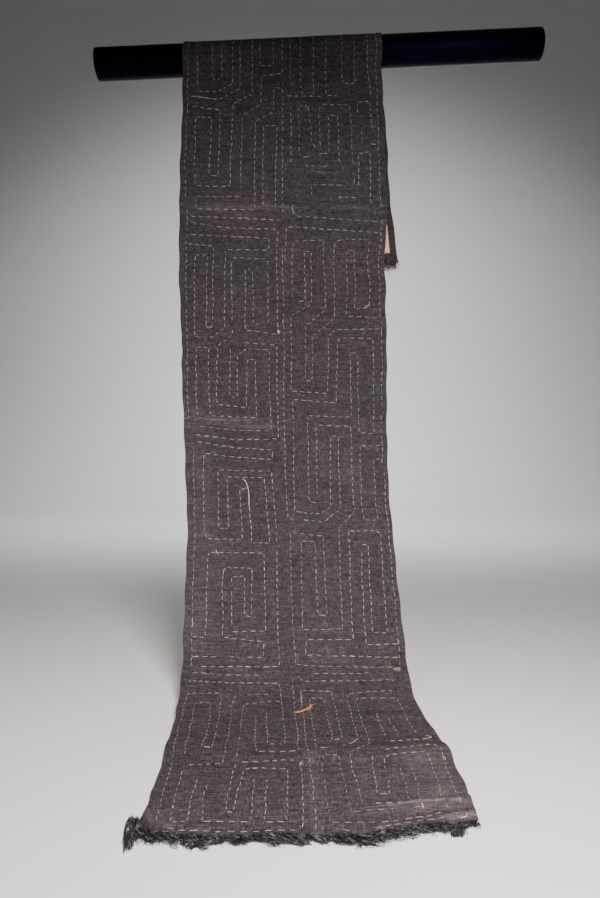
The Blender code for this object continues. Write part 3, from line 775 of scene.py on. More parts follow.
def tube_faces(rings, sides):
    """The faces of one closed tube of rings with this many sides, its points numbered ring by ring."""
    quads = []
    for ring in range(rings - 1):
        for side in range(sides):
            after = (side + 1) % sides
            low, high = ring * sides, (ring + 1) * sides
            quads.append((low + side, low + after, high + after, high + side))
    ends = [tuple(range(sides))[::-1], tuple((rings - 1) * sides + side for side in range(sides))]
    return quads, ends


def add_closed_tubes(name, points, material, tints=None, turned=False):
    """Closed tubes with points shaped (tube, ring, side, 3), and one tint a tube that the material reads.
    turned: the points of a ring run the other way round."""
    tubes, rings, sides, _ = points.shape
    shift = (np.arange(tubes) * rings * sides)[:, None, None]
    faces = []
    for kind in tube_faces(rings, sides):
        corners = np.array(kind)[:, :: -1 if turned else 1]
        faces += (corners + shift).reshape(-1, corners.shape[1]).tolist()
    piece = new_object(name, points.reshape(-1, 3), faces, material)
    if tints is not None:
        colours = np.repeat(np.column_stack([tints, np.ones(tubes)]), rings * sides, axis=0)
        tint = piece.data.color_attributes.new(name="tint", type="FLOAT_COLOR", domain="POINT")
        tint.data.foreach_set("color", colours.ravel())
    return piece


def add_tubes(name, centres, radii, sides, tints, material, flatten=1.0):
    """Many tubes along centres, shaped (tube, ring, 3), with radii (tube, ring) and one tint a tube."""
    along = unit(np.gradient(centres, axis=1))
    helper = np.where(np.abs(along[..., 2:3]) > 0.9, (1.0, 0.0, 0.0), (0.0, 0.0, 1.0))
    first = unit(np.cross(along, helper))[:, :, None]
    second = np.cross(along, first[:, :, 0])[:, :, None]
    turns = (np.arange(sides) * math.tau / sides)[:, None]
    ring = first * np.cos(turns) + second * np.sin(turns) * flatten
    return add_closed_tubes(name, centres[:, :, None] + ring * radii[:, :, None, None], material, tints)


# The stitches

# The fret pattern, charted. Each run is the corners of one line of stitches, in centimetres: across
# from the cloth's left edge, and along it past the seam named, so that -10 is 10 cm short of the seam.
CHART = {
    "over_bar": (
        "upper_seam",
        "4.5,-61 4.5,-33.6 10.6,-33.6 15.1,-36 15.1,-61 4.5,-61",
        "2.2,-32.1 10.8,-31.2 17.3,-34.8 17.3,-63 2.4,-63",
        "9,-59 9,-37.6 10,-37 11.8,-37.4 11.8,-59 9,-59",
        "21,-63 21,-33.1 15.1,-30.1 14.7,-6.2 14,-5.6 4.4,-5.8 4.1,-26 8.9,-26 8.6,-8.9 11.3,-8.8"
        " 11.4,-28.2 2.5,-29.2",
        "23.3,-61 23.3,-41.5 27.3,-41.5 27.3,-61 23.3,-61",
        "30,-63 30,-39.4 23.8,-38.5 23.4,-30.1 17.9,-26.7 17.8,-2.8 4.9,-2.6 4.9,1.1 21.9,1 21.8,-25"
        " 27.2,-28 27.4,-35 30,-35 29.9,4 2.7,3.3",
        "24.2,0 24.3,-23.8 28.3,-23.8 27.8,0.5",
        "32.4,-63 32.4,-37.1",
        "32.4,-30.2 32.5,-12.8",
        "32.6,-9 32.6,-6.8",
        "35.4,-61 35.6,-32.8 39.3,-32.8 39.4,-61 35.4,-61",
        "43.1,-63 43,-33.2 46.8,-32.9",
        "47.9,-59 48,-38 48.6,-36.8 51.8,-36.8 51.3,-59 47.9,-59",
        "55.3,-63 55.6,-45 56.2,-33.2",
        "30.7,-32.7 42,-32.7",
        "41.4,-30.5 50,-30.3 50.5,-13.2",
        "50.9,-9 50.9,-6.5",
        "38.4,-14.9 35.6,-14.8 34.8,-16 34.7,-29.8 37.6,-30 38.6,-19 40,-17.3",
        "41.2,-30 40.6,-27.8 41.1,-18",
        "40.3,-15.7 43.7,-16.1 43.5,-27.3 46.2,-27.3 46.6,-13.2",
        "52.3,-28 52.3,-31.2 56,-31.7 56.4,-23.2",
        "52.7,-24.9 53.6,-19.8",
        "55.5,-19.1 58,-19.1",
        "52.1,-6.3 52.3,-16.1 55.7,-16.8 55.5,-1",
        "36.2,-12.1 43.5,-12.2",
        "38.4,-3.4 38.4,-6.6 47.5,-6.7",
        "45.9,-3.2 51.4,-3",
        "32.8,0.6 33.5,2.7 57.4,3.9",
    ),
    "upper": (
        "upper_seam",
        "2.8,5.2 12.7,6.5 28.6,6.7 28.3,37.7 18.7,36.7 19.4,18.5 21.5,19 21.3,35 25.6,34.8 25.9,15.5"
        " 15.3,15.3",
        "3,8.8 26.2,9.4 26.2,12.9 13.6,13.1 12.8,36.3 8,39.6 3.9,39 4.7,14.8 8.3,14.8 7.5,35.8 9.4,36"
        " 10.1,12.1 2.5,11.6",
        "15.3,16.6 15,38.2 10.4,41.7 10.1,58.9 18.7,59.7 19.2,45.1 21.6,45.4 21.6,62.6 7.9,62.4 7.8,42.2"
        " 4.2,42.2 4,62.9",
        "18,40.4 27.8,40.9 27.9,68.6 15.3,69.3 3,68",
        "14.2,42.2 13.9,56.5 16.1,56.7 16.3,44.1 19,42.2 25.5,42.4 25.8,66.2 15.8,66.5 4.5,65.6",
        "30.2,12 30.2,30",
        "30.1,31 29.7,62.3",
        "31,15.9 31,5.9 58.2,7.1",
        "32.7,27.1 33.2,10 42.1,9.6 42.5,30 36.5,34.9 36.1,51 38.1,51.3 38.3,37.9 45,32.5 45.3,10"
        " 47.9,9.2 55.2,9.3 55.3,29 51,29.8 51.3,12.5 49.1,12.5 48.5,31.8 57.8,32.2",
        "36.8,13 36.4,27.6 32.2,28.1",
        "36.8,13 38.7,13 38.3,28.6 32.2,32.2 32,54.4 42.7,54.7 43,37.9 45.1,35.9 58.2,35.4 58.6,37.9",
        "32.4,67.1 32.3,56.9 45.1,57.4 45.6,39.8 46.5,38.2 56,38.3 56.2,66.1 51.8,66.1 51.4,42.7"
        " 49.2,42.5 49.6,61.5 36.7,61.5 36.3,86.9 38.7,87 39.2,64.2 49.4,64.2 49.3,88",
    ),
    "lower": (
        "middle_seam",
        "3.5,5.8 15.1,7.3 26,7.6 25.8,10.4 15,10 5.6,9.2 4.8,30.3 5.5,34.1 16,34.1 15.9,19.4 18.4,18.9"
        " 18.6,35 23.9,35 23.3,15.8 14.1,15.8 12.4,16 12,30.9 9.1,30.9 9.8,13.9 25.6,13.9 26,35",
        "26,37 25.7,62 25.9,70 2.2,70 2.2,67 21.6,67.2 21.8,63.2 10.7,62 10.4,44.2 11.3,42.3 18.8,42.5"
        " 18.5,56.3 16.6,56.1 16.7,44.7 13,45 13.1,60.5 22.4,60.2 22.3,38 6.6,38 6.1,39.4 6,62 2.4,62",
        "29.7,-2 29.6,27.6 40,28.4 45.1,24.6 45.4,23.7 45.5,2.8 43.3,3.1 42.5,23.9 39.1,26.1 34,25.9"
        " 31.8,25.3 32.4,2.8",
        "49.3,23.7 49.8,24.7 44.3,30 43.5,59.5 32.5,59.8 33.1,34.4 37.1,34.3 36.9,55.6 39.4,55.8"
        " 39.6,32.7 30,31.8 29.8,58.6 30.3,69.2 33.8,69.8 56.4,70.2",
        "58,5.3 51.9,5.5 51.7,27.6 55.9,27.6 55.9,9.5 58.3,9.2 58.1,10.7",
        "58.1,63.6 49.4,63.8 50.4,35.1 52.5,34.9 51.6,60.4 55.6,60.6 56.4,31.5 54.9,30.8 47.2,31 46,62.5"
        " 33.4,62.5 32.9,66.6 58.2,67.2",
    ),
    "floor": (
        "floor_seam",
        "2.5,1.4 7.1,1.6 11.1,2.1 21.1,2.1",
        "2.2,4.5 2.9,4 6.1,4.3 12.9,4.8 25.7,4.8 26.1,11.5 26,17.6 25.7,33.2 22,33.2 21.7,24 22,17",
        "34.6,1.7 45.9,1.7 49.8,1.4",
        "30.9,2.2 31,3.4 32,4.1 47,4.1 55.1,3.7 55.6,4.4",
        "5.1,39.1 4.4,38.5 4.1,25.7 4.1,18.8 4.4,13 5,12.1 8.4,12.1 8.3,23.9 7.8,34.8 10,35.4 10.3,23.4"
        " 10.9,11.7 10.5,8.5 2.7,8.4 1.8,9.2",
        "23.3,8.8 14.5,9 13.9,10.8 13.4,17 12.9,36.3 12.3,41.8 6.9,42.2 5.2,42.6",
        "26,11.5 21.9,11.7 16.7,12.9 16,18.2 15.5,35.2 15.2,39.8 14.7,40.4",
        "19.4,18.5 19,29 19.4,37.6 28.1,37.6 28.7,30 28.9,17.5 29.3,11.3 29.2,2.9",
        "27.4,40.8 22.3,41.1 16,41.2",
        "15.3,41.4 14.8,44 14.6,57.9 16.1,58 16.3,52 17,44.2 18.2,43.5 25.7,43.9 25.8,60.6 21.9,60.7"
        " 21.6,47.2",
        "19.2,47 19.4,60.6 10.9,60.8 10,53.3 10.4,49.3",
        "8,47.4 7.9,56 8.3,60.9 5.4,61.2 4.9,57.7 4.6,44.4",
        "28.3,41.5 28.6,43.3 28.7,62.6",
        "31.3,6.8 30.9,20.4 30.3,27.8 30.2,38 30.3,43.4 31.1,62.8",
        "30.9,13.7 31.2,7.4 39.1,7.7 39.2,15 38.4,30.6 36.2,31.4 36.5,20 37,10.4 33.3,10.3 32.8,17.5"
        " 32.2,35.9 35,36.2",
        "41.9,29.5 42.4,20.4 43,8.8 47.5,8 55.1,7.4",
        "37.4,35.5 39,34.3",
        "55.3,27.7 55.6,17.4 55.6,10.3 45.8,10.3 44.8,11 44.6,17 44.1,33.8 41.4,36.2 38.8,38.3 38.8,44"
        " 39.6,56.2",
        "51.2,17.4 51.1,29.2",
        "48.8,16.9 48.1,29.2",
        "48.4,31.5 55.6,31 57.4,30.6",
        "46.1,37.6 47.7,36.9 51.5,36.3 57,34.7 58.1,36 58,43 57.5,50.6 57.7,58.9",
        "43.3,39.3 42.6,53.4 45,53.5 45.6,42.4 45.7,39.7 48.9,38.8 55,38 55.3,43 54.7,53.8 55,59.8",
        "48.5,43.5 48.4,55.8",
        "51,41.4 50.5,57 50.5,58.9 37.3,59 36.6,45 36.4,39.1 33.3,39 32.6,43.4 33.4,61 42,62 50.5,61.8"
        " 54,60.7",
        "41.6,56.5 47.6,56.5",
    ),
}
# The running stitches that hold the hems
HEM_CHART = {
    "over_bar": (
        "upper_seam",
        "1.6,-61 1.55,-45 1.5,-25 1.45,-12 1.8,-2",
        "58.3,-61 58.2,-30 58.3,0",
    ),
    "upper": (
        "upper_seam",
        "2.2,1 2.2,12 2,25 1.7,36 1.6,50 1.4,64",
        "58.6,3 58.2,25 58.6,40 58.4,64",
    ),
    "lower": (
        "middle_seam",
        "2.6,7 2.4,20 2.1,30 2.2,40 2.1,50 2.4,62 2.4,70",
        "58.4,0 58.4,11",
        "58.8,13 58.8,30 58.7,45 58.4,60 58.2,70",
    ),
    "floor": (
        "floor_seam",
        "1.8,9.4 1.8,15 1.4,22 1.6,30 2.1,40 2,43 2.3,52 2.8,61.4",
        "4.9,62.4 9,62.8 24,62.8 28.2,62.9",
        "34.9,62.6 37.5,62.5",
        "41.2,62.8 46.2,62.8 52.3,62.6 54.4,62",
    ),
    "back": (
        "back_seam",
        "1.9,-57 2,-40 1.8,-20 1.9,0",
        "58.1,-57 58,-30 58.2,0",
    ),
}
# Hem stitches in dyed thread, past the floor seam
DARK_HEM_RUNS = (
    "0.8,3 0.7,15 0.8,30 0.9,45 1.1,58",
    "58.8,3 58.7,14 58.8,27 59.1,35 59.2,46 59,60",
    "55.6,60.9 56.2,63",
)
DARK_TINT = (0.016, 0.013, 0.015)
# The back fall's own fret is out of sight. It takes the upper panel's, shortened and turned end to end.
UPPER_LENGTH = 64
BACK_SHARE = 0.86
# The stitches: centimetres from one to the next, and what share of that one covers
STITCH_PITCH = 1.88
LONG_ROW_PITCH = 2.3
LONG_ROW = 8.0
STITCH_SHARE = 0.62
STITCH_SHARE_SPREAD = 0.07
MISSING_SHARE = 0.01
# How far they stray along and beside their run, and how far they lean, in centimetres
STRAY_ALONG, STRAY_BESIDE, LEAN = 0.05, 0.035, 0.05
# A stitch from end to end, as rows of (share of its length, height off the cloth, share of its width)
FACE_STITCH = ((0.0, -0.0003, 0.55), (0.22, 0.00045, 1.0), (0.78, 0.00045, 1.0), (1.0, -0.0003, 0.55))
REVERSE_STITCH = ((0.0, -0.0003, 0.55), (0.5, 0.0004, 1.0), (1.0, -0.0003, 0.55))
# Its section, as shares of its half width and of its thickness
FACE_SECTION = ((-1, -1), (-0.75, 0.5), (0.75, 0.5), (1, -1))
REVERSE_SECTION = ((-1, -1), (0, 0.5), (1, -1))
STITCH_WIDTH = 0.0013
STITCH_WIDTH_SPREAD = 0.16
STITCH_THICKNESS = 0.00055
STITCH_LIFT_SPREAD = 0.00008
TINTS = np.array([(0.52, 0.415, 0.36), (0.44, 0.32, 0.245), (0.64, 0.575, 0.54), (0.31, 0.225, 0.175)])
TINT_SHARES = (0.52, 0.20, 0.18, 0.10)
RUN_TINT_SHARE = 0.55
TINT_LEVEL, TINT_LEVEL_SPREAD, TINT_LEVELS = 0.82, 0.13, (0.4, 1.2)
TINT_LIMITS = (0.01, 0.85)
# The floor panel's stitches are drawn darker than the others
FLOOR_STITCH_DARKENING = 0.76


def run_corners(text):
    """The corners of a charted run, in centimetres."""
    return np.array([[float(number) for number in corner.split(",")] for corner in text.split()])


def from_back(seam, text):
    """The corners of a run charted past a seam, in centimetres from the cloth's back end."""
    return run_corners(text) + (0.0, PLACE[seam] * 100)


def stitches_of(corners, spread):
    """The two ends of each stitch of a run and of each gap between them, in centimetres, and its colour."""
    stitches, gaps, tints = [], [], []
    run_tint = TINTS[spread.choice(len(TINTS), p=TINT_SHARES)]
    for start, end in zip(corners, corners[1:]):
        run = end - start
        length = np.linalg.norm(run)
        level = abs(run[0]) > 3 * abs(run[1]) and length > LONG_ROW
        count = max(1, round(length / (LONG_ROW_PITCH if level else STITCH_PITCH)))
        along = run / length
        beside = np.array([-along[1], along[0]])
        reach = along * length / count / 2
        for k in range(count):
            middle = start + run * (k + 0.5) / count + along * spread.normal(0, STRAY_ALONG)
            middle = middle + beside * spread.normal(0, STRAY_BESIDE)
            share = STITCH_SHARE * spread.normal(1, STITCH_SHARE_SPREAD)
            lean = beside * spread.normal(0, LEAN)
            if spread.random() < MISSING_SHARE:
                continue
            stitches.append((middle - reach * share - lean, middle + reach * share + lean))
            gaps.append((middle + reach * share, middle + reach * (2 - share)))
            own_tint = TINTS[spread.choice(len(TINTS), p=TINT_SHARES)]
            mixed = run_tint * RUN_TINT_SHARE + own_tint * (1 - RUN_TINT_SHARE)
            tints.append(mixed * np.clip(spread.normal(TINT_LEVEL, TINT_LEVEL_SPREAD), *TINT_LEVELS))
    return stitches, gaps, tints


def stitch_tubes(name, ends, tints, on_face, material, spread):
    """Flat raffia strips that come up through the cloth, lie on it and go down again."""
    ends, tints = np.array(ends) / 100, np.clip(np.array(tints), *TINT_LIMITS)
    shares, lifts, widths = np.array(FACE_STITCH if on_face else REVERSE_STITCH).T
    section = FACE_SECTION if on_face else REVERSE_SECTION
    count, rings = len(ends), len(shares)
    places = ends[:, None, 0] + (ends[:, None, 1] - ends[:, None, 0]) * shares[:, None]
    distance, across = draped_place(*places.reshape(-1, 2).T)
    lift = np.tile(lifts, count) + np.repeat(spread.normal(0, STITCH_LIFT_SPREAD, count), rings)
    centre, normal = (found.reshape(count, rings, 3) for found in on_cloth(distance, across, lift, on_face))
    side = unit(np.cross(normal, (centre[:, -1] - centre[:, 0])[:, None]))
    half = STITCH_WIDTH / 2 * spread.normal(1, STITCH_WIDTH_SPREAD, count)[:, None] * widths
    half, thick = side * half[..., None], normal * STITCH_THICKNESS
    points = np.stack([centre + half * beside + thick * up for beside, up in section], axis=2)
    points[..., 2] = np.maximum(points[..., 2], 0.0)
    return add_closed_tubes(name, points, material, tints, turned=True)


def charted_runs(chart):
    """A chart's runs as (their panel's group, their corners in centimetres from the cloth's back end)."""
    return [(group, from_back(seam, text)) for group, (seam, *texts) in chart.items() for text in texts]


def all_runs():
    """Every run of light stitches, likewise."""
    runs = charted_runs(CHART)
    for text in CHART["upper"][1:]:
        corners = run_corners(text)
        corners[:, 1] = BACK_SEAM * 100 - np.minimum(corners[:, 1], UPPER_LENGTH) * BACK_SHARE
        runs.append(("back", corners))
    return runs + charted_runs(HEM_CHART)


def add_stitches(material):
    """All the stitches, one piece a panel for the face and one for the reverse."""
    spread = np.random.default_rng(STITCH_SEED)
    gathered = {group: ([], [], []) for group in ("back", "over_bar", "upper", "lower", "floor")}
    for group, corners in all_runs():
        for store, found in zip(gathered[group], stitches_of(corners, spread)):
            store.extend(found)
    for text in DARK_HEM_RUNS:
        stitches, gaps, tints = stitches_of(from_back("floor_seam", text), spread)
        for store, found in zip(gathered["floor"], (stitches, gaps, [DARK_TINT] * len(tints))):
            store.extend(found)
    pieces = []
    for group, (stitches, gaps, tints) in gathered.items():
        tints = np.array(tints) * (FLOOR_STITCH_DARKENING if group == "floor" else 1.0)
        pieces.append(stitch_tubes("stitches_" + group, stitches, tints, True, material, spread))
        pieces.append(stitch_tubes("reverse_stitches_" + group, gaps, tints, False, material, spread))
    return pieces


# Loose threads

# Threads that have come loose, in centimetres across from the left edge and past a seam, and in millimetres
# off the face. Their colours and half widths follow.
CREAM, WHITE, ORANGE, TAN = (0.55, 0.46, 0.34), (0.68, 0.62, 0.52), (0.57, 0.235, 0.09), (0.58, 0.42, 0.28)
LOOSE_THREADS = (
    (
        "middle_seam",
        "17,16.4,0.5 17.8,17,2 18.3,18.6,3 18.5,21,3.5 18.4,23.6,2.5 18.6,25.2,0.8",
        WHITE,
        0.0011,
    ),
    ("floor_seam", "28.7,17.4,1 30.5,17.1,2.5 32.3,15.6,3 33.4,14.3,3 34.3,12.9,1.5", ORANGE, 0.0010),
    ("floor_seam", "29,16.9,1 30.5,16.7,2.5 32.2,15.2,3 33.2,14,3.4 33.7,13.3,3", ORANGE, 0.0008),
    ("floor_seam", "32.1,16,1 32.9,15.4,2.4 33.4,14.9,2.4 33.5,15.3,2", ORANGE, 0.0007),
    ("floor_seam", "39.6,33.5,0.5 40.6,32.4,0.9 41.4,31.4,0.9 42,30.5,0.5", TAN, 0.0004),
    ("upper_seam", "2.6,-32.2,0.5 5,-32,0.6 8,-31.6,0.6 10.6,-31.3,0.5", CREAM, 0.0006),
    ("upper_seam", "7.4,35.4,0.8 7.8,36.3,1.5 8.8,36.2,1.5 9.2,35.4,0.8", ORANGE, 0.0010),
    ("middle_seam", "57.9,62,0.6 58.1,63,1.4 58,63.8,0.8", ORANGE, 0.0011),
    ("upper_seam", "43.4,-43.9,0.6 43.1,-43.2,1.6 43.4,-42.6,1.0", ORANGE, 0.0009),
    ("upper_seam", "29.6,33.4,0.6 29.9,34.2,1.4 29.8,34.9,0.8", ORANGE, 0.0009),
    ("upper_seam", "28,36.7,0.6 28.5,37.2,2.4 28.9,36.8,1.0", WHITE, 0.0010),
    ("upper_seam", "28.7,36.6,0.6 28.3,37.1,2 28.6,37.7,0.8", WHITE, 0.0009),
    ("middle_seam", "8.5,37.2,0.6 8.8,38,2.2 9.3,38.5,0.8", WHITE, 0.0011),
    ("floor_seam", "28.3,43.2,0.6 28.3,42,2 28.7,41.8,1.6 29,42.4,0.8", TAN, 0.0006),
    ("floor_seam", "57,30.7,0.6 58.2,30.3,1.8 57.7,29.7,1.8 57.2,29.1,0.8", TAN, 0.0006),
    ("floor_seam", "57.7,39.5,0.6 58.3,40.1,1.8 58.1,41,0.8", TAN, 0.0007),
    ("floor_seam", "56.8,62.7,0.8 57.8,62.5,2 58.2,61.6,1.4", CREAM, 0.0009),
    ("floor_seam", "50.35,58.4,0.6 50.45,58.9,1.4 50.35,59.3,0.8", WHITE, 0.0008),
    ("middle_seam", "2,57.2,0.6 2.5,58.3,1.6 2.3,59.4,0.8", CREAM, 0.0009),
    ("middle_seam", "11.2,42.6,0.6 10.6,43.4,1.6 10.5,44.8,0.8", CREAM, 0.0009),
    ("upper_seam", "32.9,-0.4,0.6 32.6,0.6,1.6 33,1.4,0.8", CREAM, 0.0009),
    ("upper_seam", "54,28.9,0.6 54.8,28.6,1.4 55.4,28.2,0.8", CREAM, 0.0008),
)
# A thread's half width from end to end, as shares of its length and of its half width
THREAD_ENDS = ((0, 0.5), (0.15, 1), (0.8, 1), (1, 0.35))
THREAD_RINGS = 14
THREAD_SIDES = 6
# A frayed end at the right hem: strands that run from their root towards its point, and bow off the cloth
TUFT_SEAM = "middle_seam"
TUFT_ROOT, TUFT_POINT = np.array([58.0, 70.7, 0.4]), np.array([55.3, 71.0, 0.8])
TUFT_THREADS = 12
# How far its threads reach towards the point, how far they spread there, and how they start and bow
TUFT_REACH, TUFT_SPREAD, TUFT_NARROWS = (0.25, 1.0), 1.25, 1.1
TUFT_START_ACROSS, TUFT_START_ALONG = 0.12, (-0.6, 0.5)
TUFT_BOW_ACROSS, TUFT_BOW_ALONG, TUFT_BOW_UP = (0.1, 0.2), (0, 0.3), (0.6, 2.2)
TUFT_RADII = (0.00018, 0.0003)
TUFT_SHADES = (0.5, 1.2)


def smooth_path(points, rings):
    """A smooth curve through points, at evenly spread parameters."""
    points = np.asarray(points, float)
    padded = np.concatenate([2 * points[:1] - points[1:2], points, 2 * points[-1:] - points[-2:-1]])
    place = np.linspace(0, len(points) - 1 - 1e-9, rings)
    k = place.astype(int)
    share = (place - k)[:, None]
    a, b, c, d = padded[k], padded[k + 1], padded[k + 2], padded[k + 3]
    bend, twist = 2 * a - 5 * b + 4 * c - d, 3 * b - a - 3 * c + d
    return 0.5 * (2 * b + (c - a) * share + bend * share**2 + twist * share**3)


def thread_path(seam, corners):
    """The smooth path of a loose thread over the cloth's face."""
    path = smooth_path(corners, THREAD_RINGS)
    distance, across = draped_place(path[:, 0] / 100, PLACE[seam] + path[:, 1] / 100)
    return on_cloth(distance, across, path[:, 2] / 1000)[0]


def add_loose_threads(material):
    """The threads that have come loose on the face, and a frayed tuft at the right hem."""
    thinner = np.interp(np.linspace(0, 1, THREAD_RINGS), *zip(*THREAD_ENDS))
    centres, radii, colours = [], [], []
    for seam, text, colour, half_width in LOOSE_THREADS:
        centres.append(thread_path(seam, run_corners(text)))
        radii.append(half_width * thinner)
        colours.append(colour)
    spread = np.random.default_rng(THREAD_SEED)
    for _ in range(TUFT_THREADS):
        reach = spread.uniform(*TUFT_REACH)
        side = np.array([0.0, TUFT_SPREAD * spread.uniform(-1, 1) * (TUFT_NARROWS - reach), 0.0])
        start = TUFT_ROOT + [spread.normal(0, TUFT_START_ACROSS), spread.uniform(*TUFT_START_ALONG), 0.0]
        tip = TUFT_ROOT + (TUFT_POINT - TUFT_ROOT) * reach + side
        bow = [spread.normal(*TUFT_BOW_ACROSS), spread.normal(*TUFT_BOW_ALONG), spread.uniform(*TUFT_BOW_UP)]
        centres.append(thread_path(TUFT_SEAM, [start, (start + tip) / 2 + bow, tip]))
        radii.append(np.full(THREAD_RINGS, spread.uniform(*TUFT_RADII)))
        colours.append(np.array(TAN) * spread.uniform(*TUFT_SHADES))
    centres, radii, colours = np.array(centres), np.array(radii), np.array(colours)
    return add_tubes("loose_threads", centres, radii, THREAD_SIDES, colours, material)


# The fringes

STRAND_RINGS, STRAND_SIDES = 8, 4
STRAND_FLATTEN = 0.5
STRAND_RADIUS = 0.0007
STRAND_RADII = (0.6, 1.5)
TIP_SHARE = 0.65
FRONT_STRANDS, TAIL_STRANDS, CORNER_CURLS, BACK_STRANDS = 2750, 120, 260, 3200
# The strands of a clump start and curl alike: how many they are, and how far each differs from the others
CLUMP = 7
FRONT_PLACES_APART, BACK_PLACES_APART = 0.004, 0.010
TURNS_APART, PHASE_APART, LEAN_APART = 0.12, 0.5, 0.10
LENGTHS_APART, RISE_APART, STAND_APART, DIRECTION_APART = 0.08, 8, 9, 0.3
# The curls: turns from root to tip, how far they swing sideways and along, how far clumps lean, and how much
# a drooping strand loses of its reach
CURL_TURNS = (0.8, 2.3)
CURL_SIDEWAYS, CURL_ALONG = 0.19, 0.16
CLUMP_LEAN = 0.27
DROOP_LOSS = 0.45
# The front strands: shares of FRINGE_REACH and their limits, and how far they rise, in degrees
FRONT_LENGTHS, FRONT_LENGTH_LIMITS = (0.45, 1.05), (0.25, 1.1)
FRONT_RISE = (-8, 36)
FRONT_DROOP = (0.3, 1.0)
LEFT_RISE = ((-0.97, 0.3), (-0.90, 1.0))
# The straight tuft's rise and curl, as shares of the others'
TUFT_RISE, TUFT_CURL = 0.15, 0.12
# The curls at the left corner: where they start from it in x, y and z, their rise, lengths and curl
CORNER_X, CORNER_Y, CORNER_Z = (-0.018, 0.001), (-0.016, 0.001), 0.001
CORNER_RISE, CORNER_LENGTHS, CORNER_CURL = (0, 50), (0.005, 0.011), 2.0
# The back strands: how far they stand off the cloth, in degrees, and their lengths
BACK_STAND, BACK_STAND_SPREAD, BACK_STAND_LIMITS = 4, 26, (-0.5, 1.3)
BACK_LENGTHS, BACK_DROOP, BACK_CURL = (0.016, 0.031), (0.1, 0.6), 0.8
BACK_CLUMP_SIZE = 0.014
BACK_CLUMP_LENGTHS = (0.80, 0.36)
HEADING_RADIUS = 0.0025
HEADING_RIGHT = 0.985
# How far the front fringe reaches forward of the cloth's end, at places across the cloth
FRINGE_REACH = (
    (-1.0, 0.026), (-0.95, 0.044), (-0.86, 0.036), (-0.80, 0.052), (-0.74, 0.042), (-0.69, 0.029),
    (-0.64, 0.052), (-0.59, 0.050), (-0.55, 0.029), (-0.40, 0.033), (-0.33, 0.027), (-0.24, 0.038),
    (-0.06, 0.042), (0.05, 0.032), (0.20, 0.033), (0.37, 0.046), (0.42, 0.040), (0.52, 0.046),
    (0.60, 0.037), (0.824, 0.036), (0.830, 0.056), (0.906, 0.056), (0.914, 0.028), (1.0, 0.024),
)
# The part across the cloth where the fringe's end is a straight tuft, and where strands point from there on
STRAIGHT_TUFT = (0.830, 0.906)
RIGHT_END_LEAN = (-0.23, -1.0, 0.0)
# The loose tail of the front fringe, from its free end: how far left of the cloth's corner and forward of it
FRONT_TAIL = ((0.001, 0.096), (0.0068, 0.072), (0.0138, 0.043), (0.0160, 0.021), (0.0100, 0.008))
# Its width, how much it narrows, and where its strands begin and end, as shares of its length from its free
# end, which slants across it
TAIL_WIDTH, TAIL_NARROWS, TAIL_SLANT = 0.0185, 0.15, 0.14
TAIL_STARTS, TAIL_ENDS, TAIL_END_POWER, TAIL_END_LIMIT = (0.4, 1.0), (0.0, 0.6), 1.6, 0.4
# How its strands waver and arch, and how high they lie
TAIL_TURNS, TAIL_WAVER = (0.8, 2.0), (0.0004, 0.0024)
TAIL_ARCH, TAIL_HEIGHTS = 0.004, (0.0012, 0.004)
# How far in front of the bar's middle the tail reaches at most
FRINGE_END = 0.990
# The strands' colours, how often each comes, and how far strands differ from them
FRINGE_TINTS = np.array(
    [(0.005, 0.004, 0.005), (0.013, 0.011, 0.014), (0.050, 0.044, 0.053), (0.15, 0.135, 0.145)]
)
FRINGE_SHARES = (0.30, 0.31, 0.26, 0.13)
FRINGE_TINT_SPREAD, FRINGE_TINT_LIMITS = 0.15, (0.5, 1.5)
TAIL_PALER = 1.2
TAIL_FINER = 0.62
BACK_FRINGE_PALER = 1.5
# How far up and forward of the back heading's middle its strands leave it
BACK_ROOTS_UP, BACK_ROOTS_IN = 0.0026, 0.0016
# How far strands may pass the fringe's right ends, and what is left of what goes further
FRONT_OVERHANG, BACK_OVERHANG = 0.001, 0.006
PAST_END_SHARE = 0.2
# Where strands leave the front heading, from its middle up
FRONT_ROOT_HEIGHTS = (-0.0018, 0.0010)
# The least heights of strands: on the floor, and where they lie back over the cloth
FLOOR_STRAND_HEIGHT, FLOOR_STRAND_SPREAD = 0.0012, 0.0025
OVER_CLOTH_HEIGHT = 0.0042
# How far behind their root, and left of the cloth's corner, strands count as lying over the cloth
BEHIND_ROOT, LEFT_OF_CORNER = 0.001, 0.002
DOWN, FORWARD, BACKWARD = np.array([0.0, 0.0, -1.0]), np.array([0.0, -1.0, 0.0]), np.array([0.0, 1.0, 0.0])
# The heading cords: how finely they are drawn, the share of their radius that is, how it swells along them,
# and their thin start
FRONT_HEADING_POINTS, BACK_HEADING_POINTS = 46, 34
HEADING_RINGS, HEADING_SIDES = 160, 8
HEADING_SHARE = 0.85
HEADING_SWELL, HEADING_SWELL_TURN = 0.12, 1.9
HEADING_START = ((0, 0.35), (18, 1))
# Single pale strands on the floor, from end to end: right of the bar's middle and in front of it
PALE_TINT = (0.24, 0.23, 0.21)
PALE_STRANDS = (
    ((-0.2502, 0.949), (-0.2555, 0.956), (-0.2613, 0.9601)),
    ((-0.1993, 0.953), (-0.2050, 0.960), (-0.2117, 0.9688)),
    ((-0.2687, 0.963), (-0.2740, 0.9625), (-0.2793, 0.9601)),
    ((-0.3532, 0.928), (-0.3495, 0.955), (-0.3385, 0.985)),
    ((0.2240, 0.920), (0.2262, 0.930), (0.2252, 0.9395)),
)
PALE_STRAND_HEIGHT = 0.0035


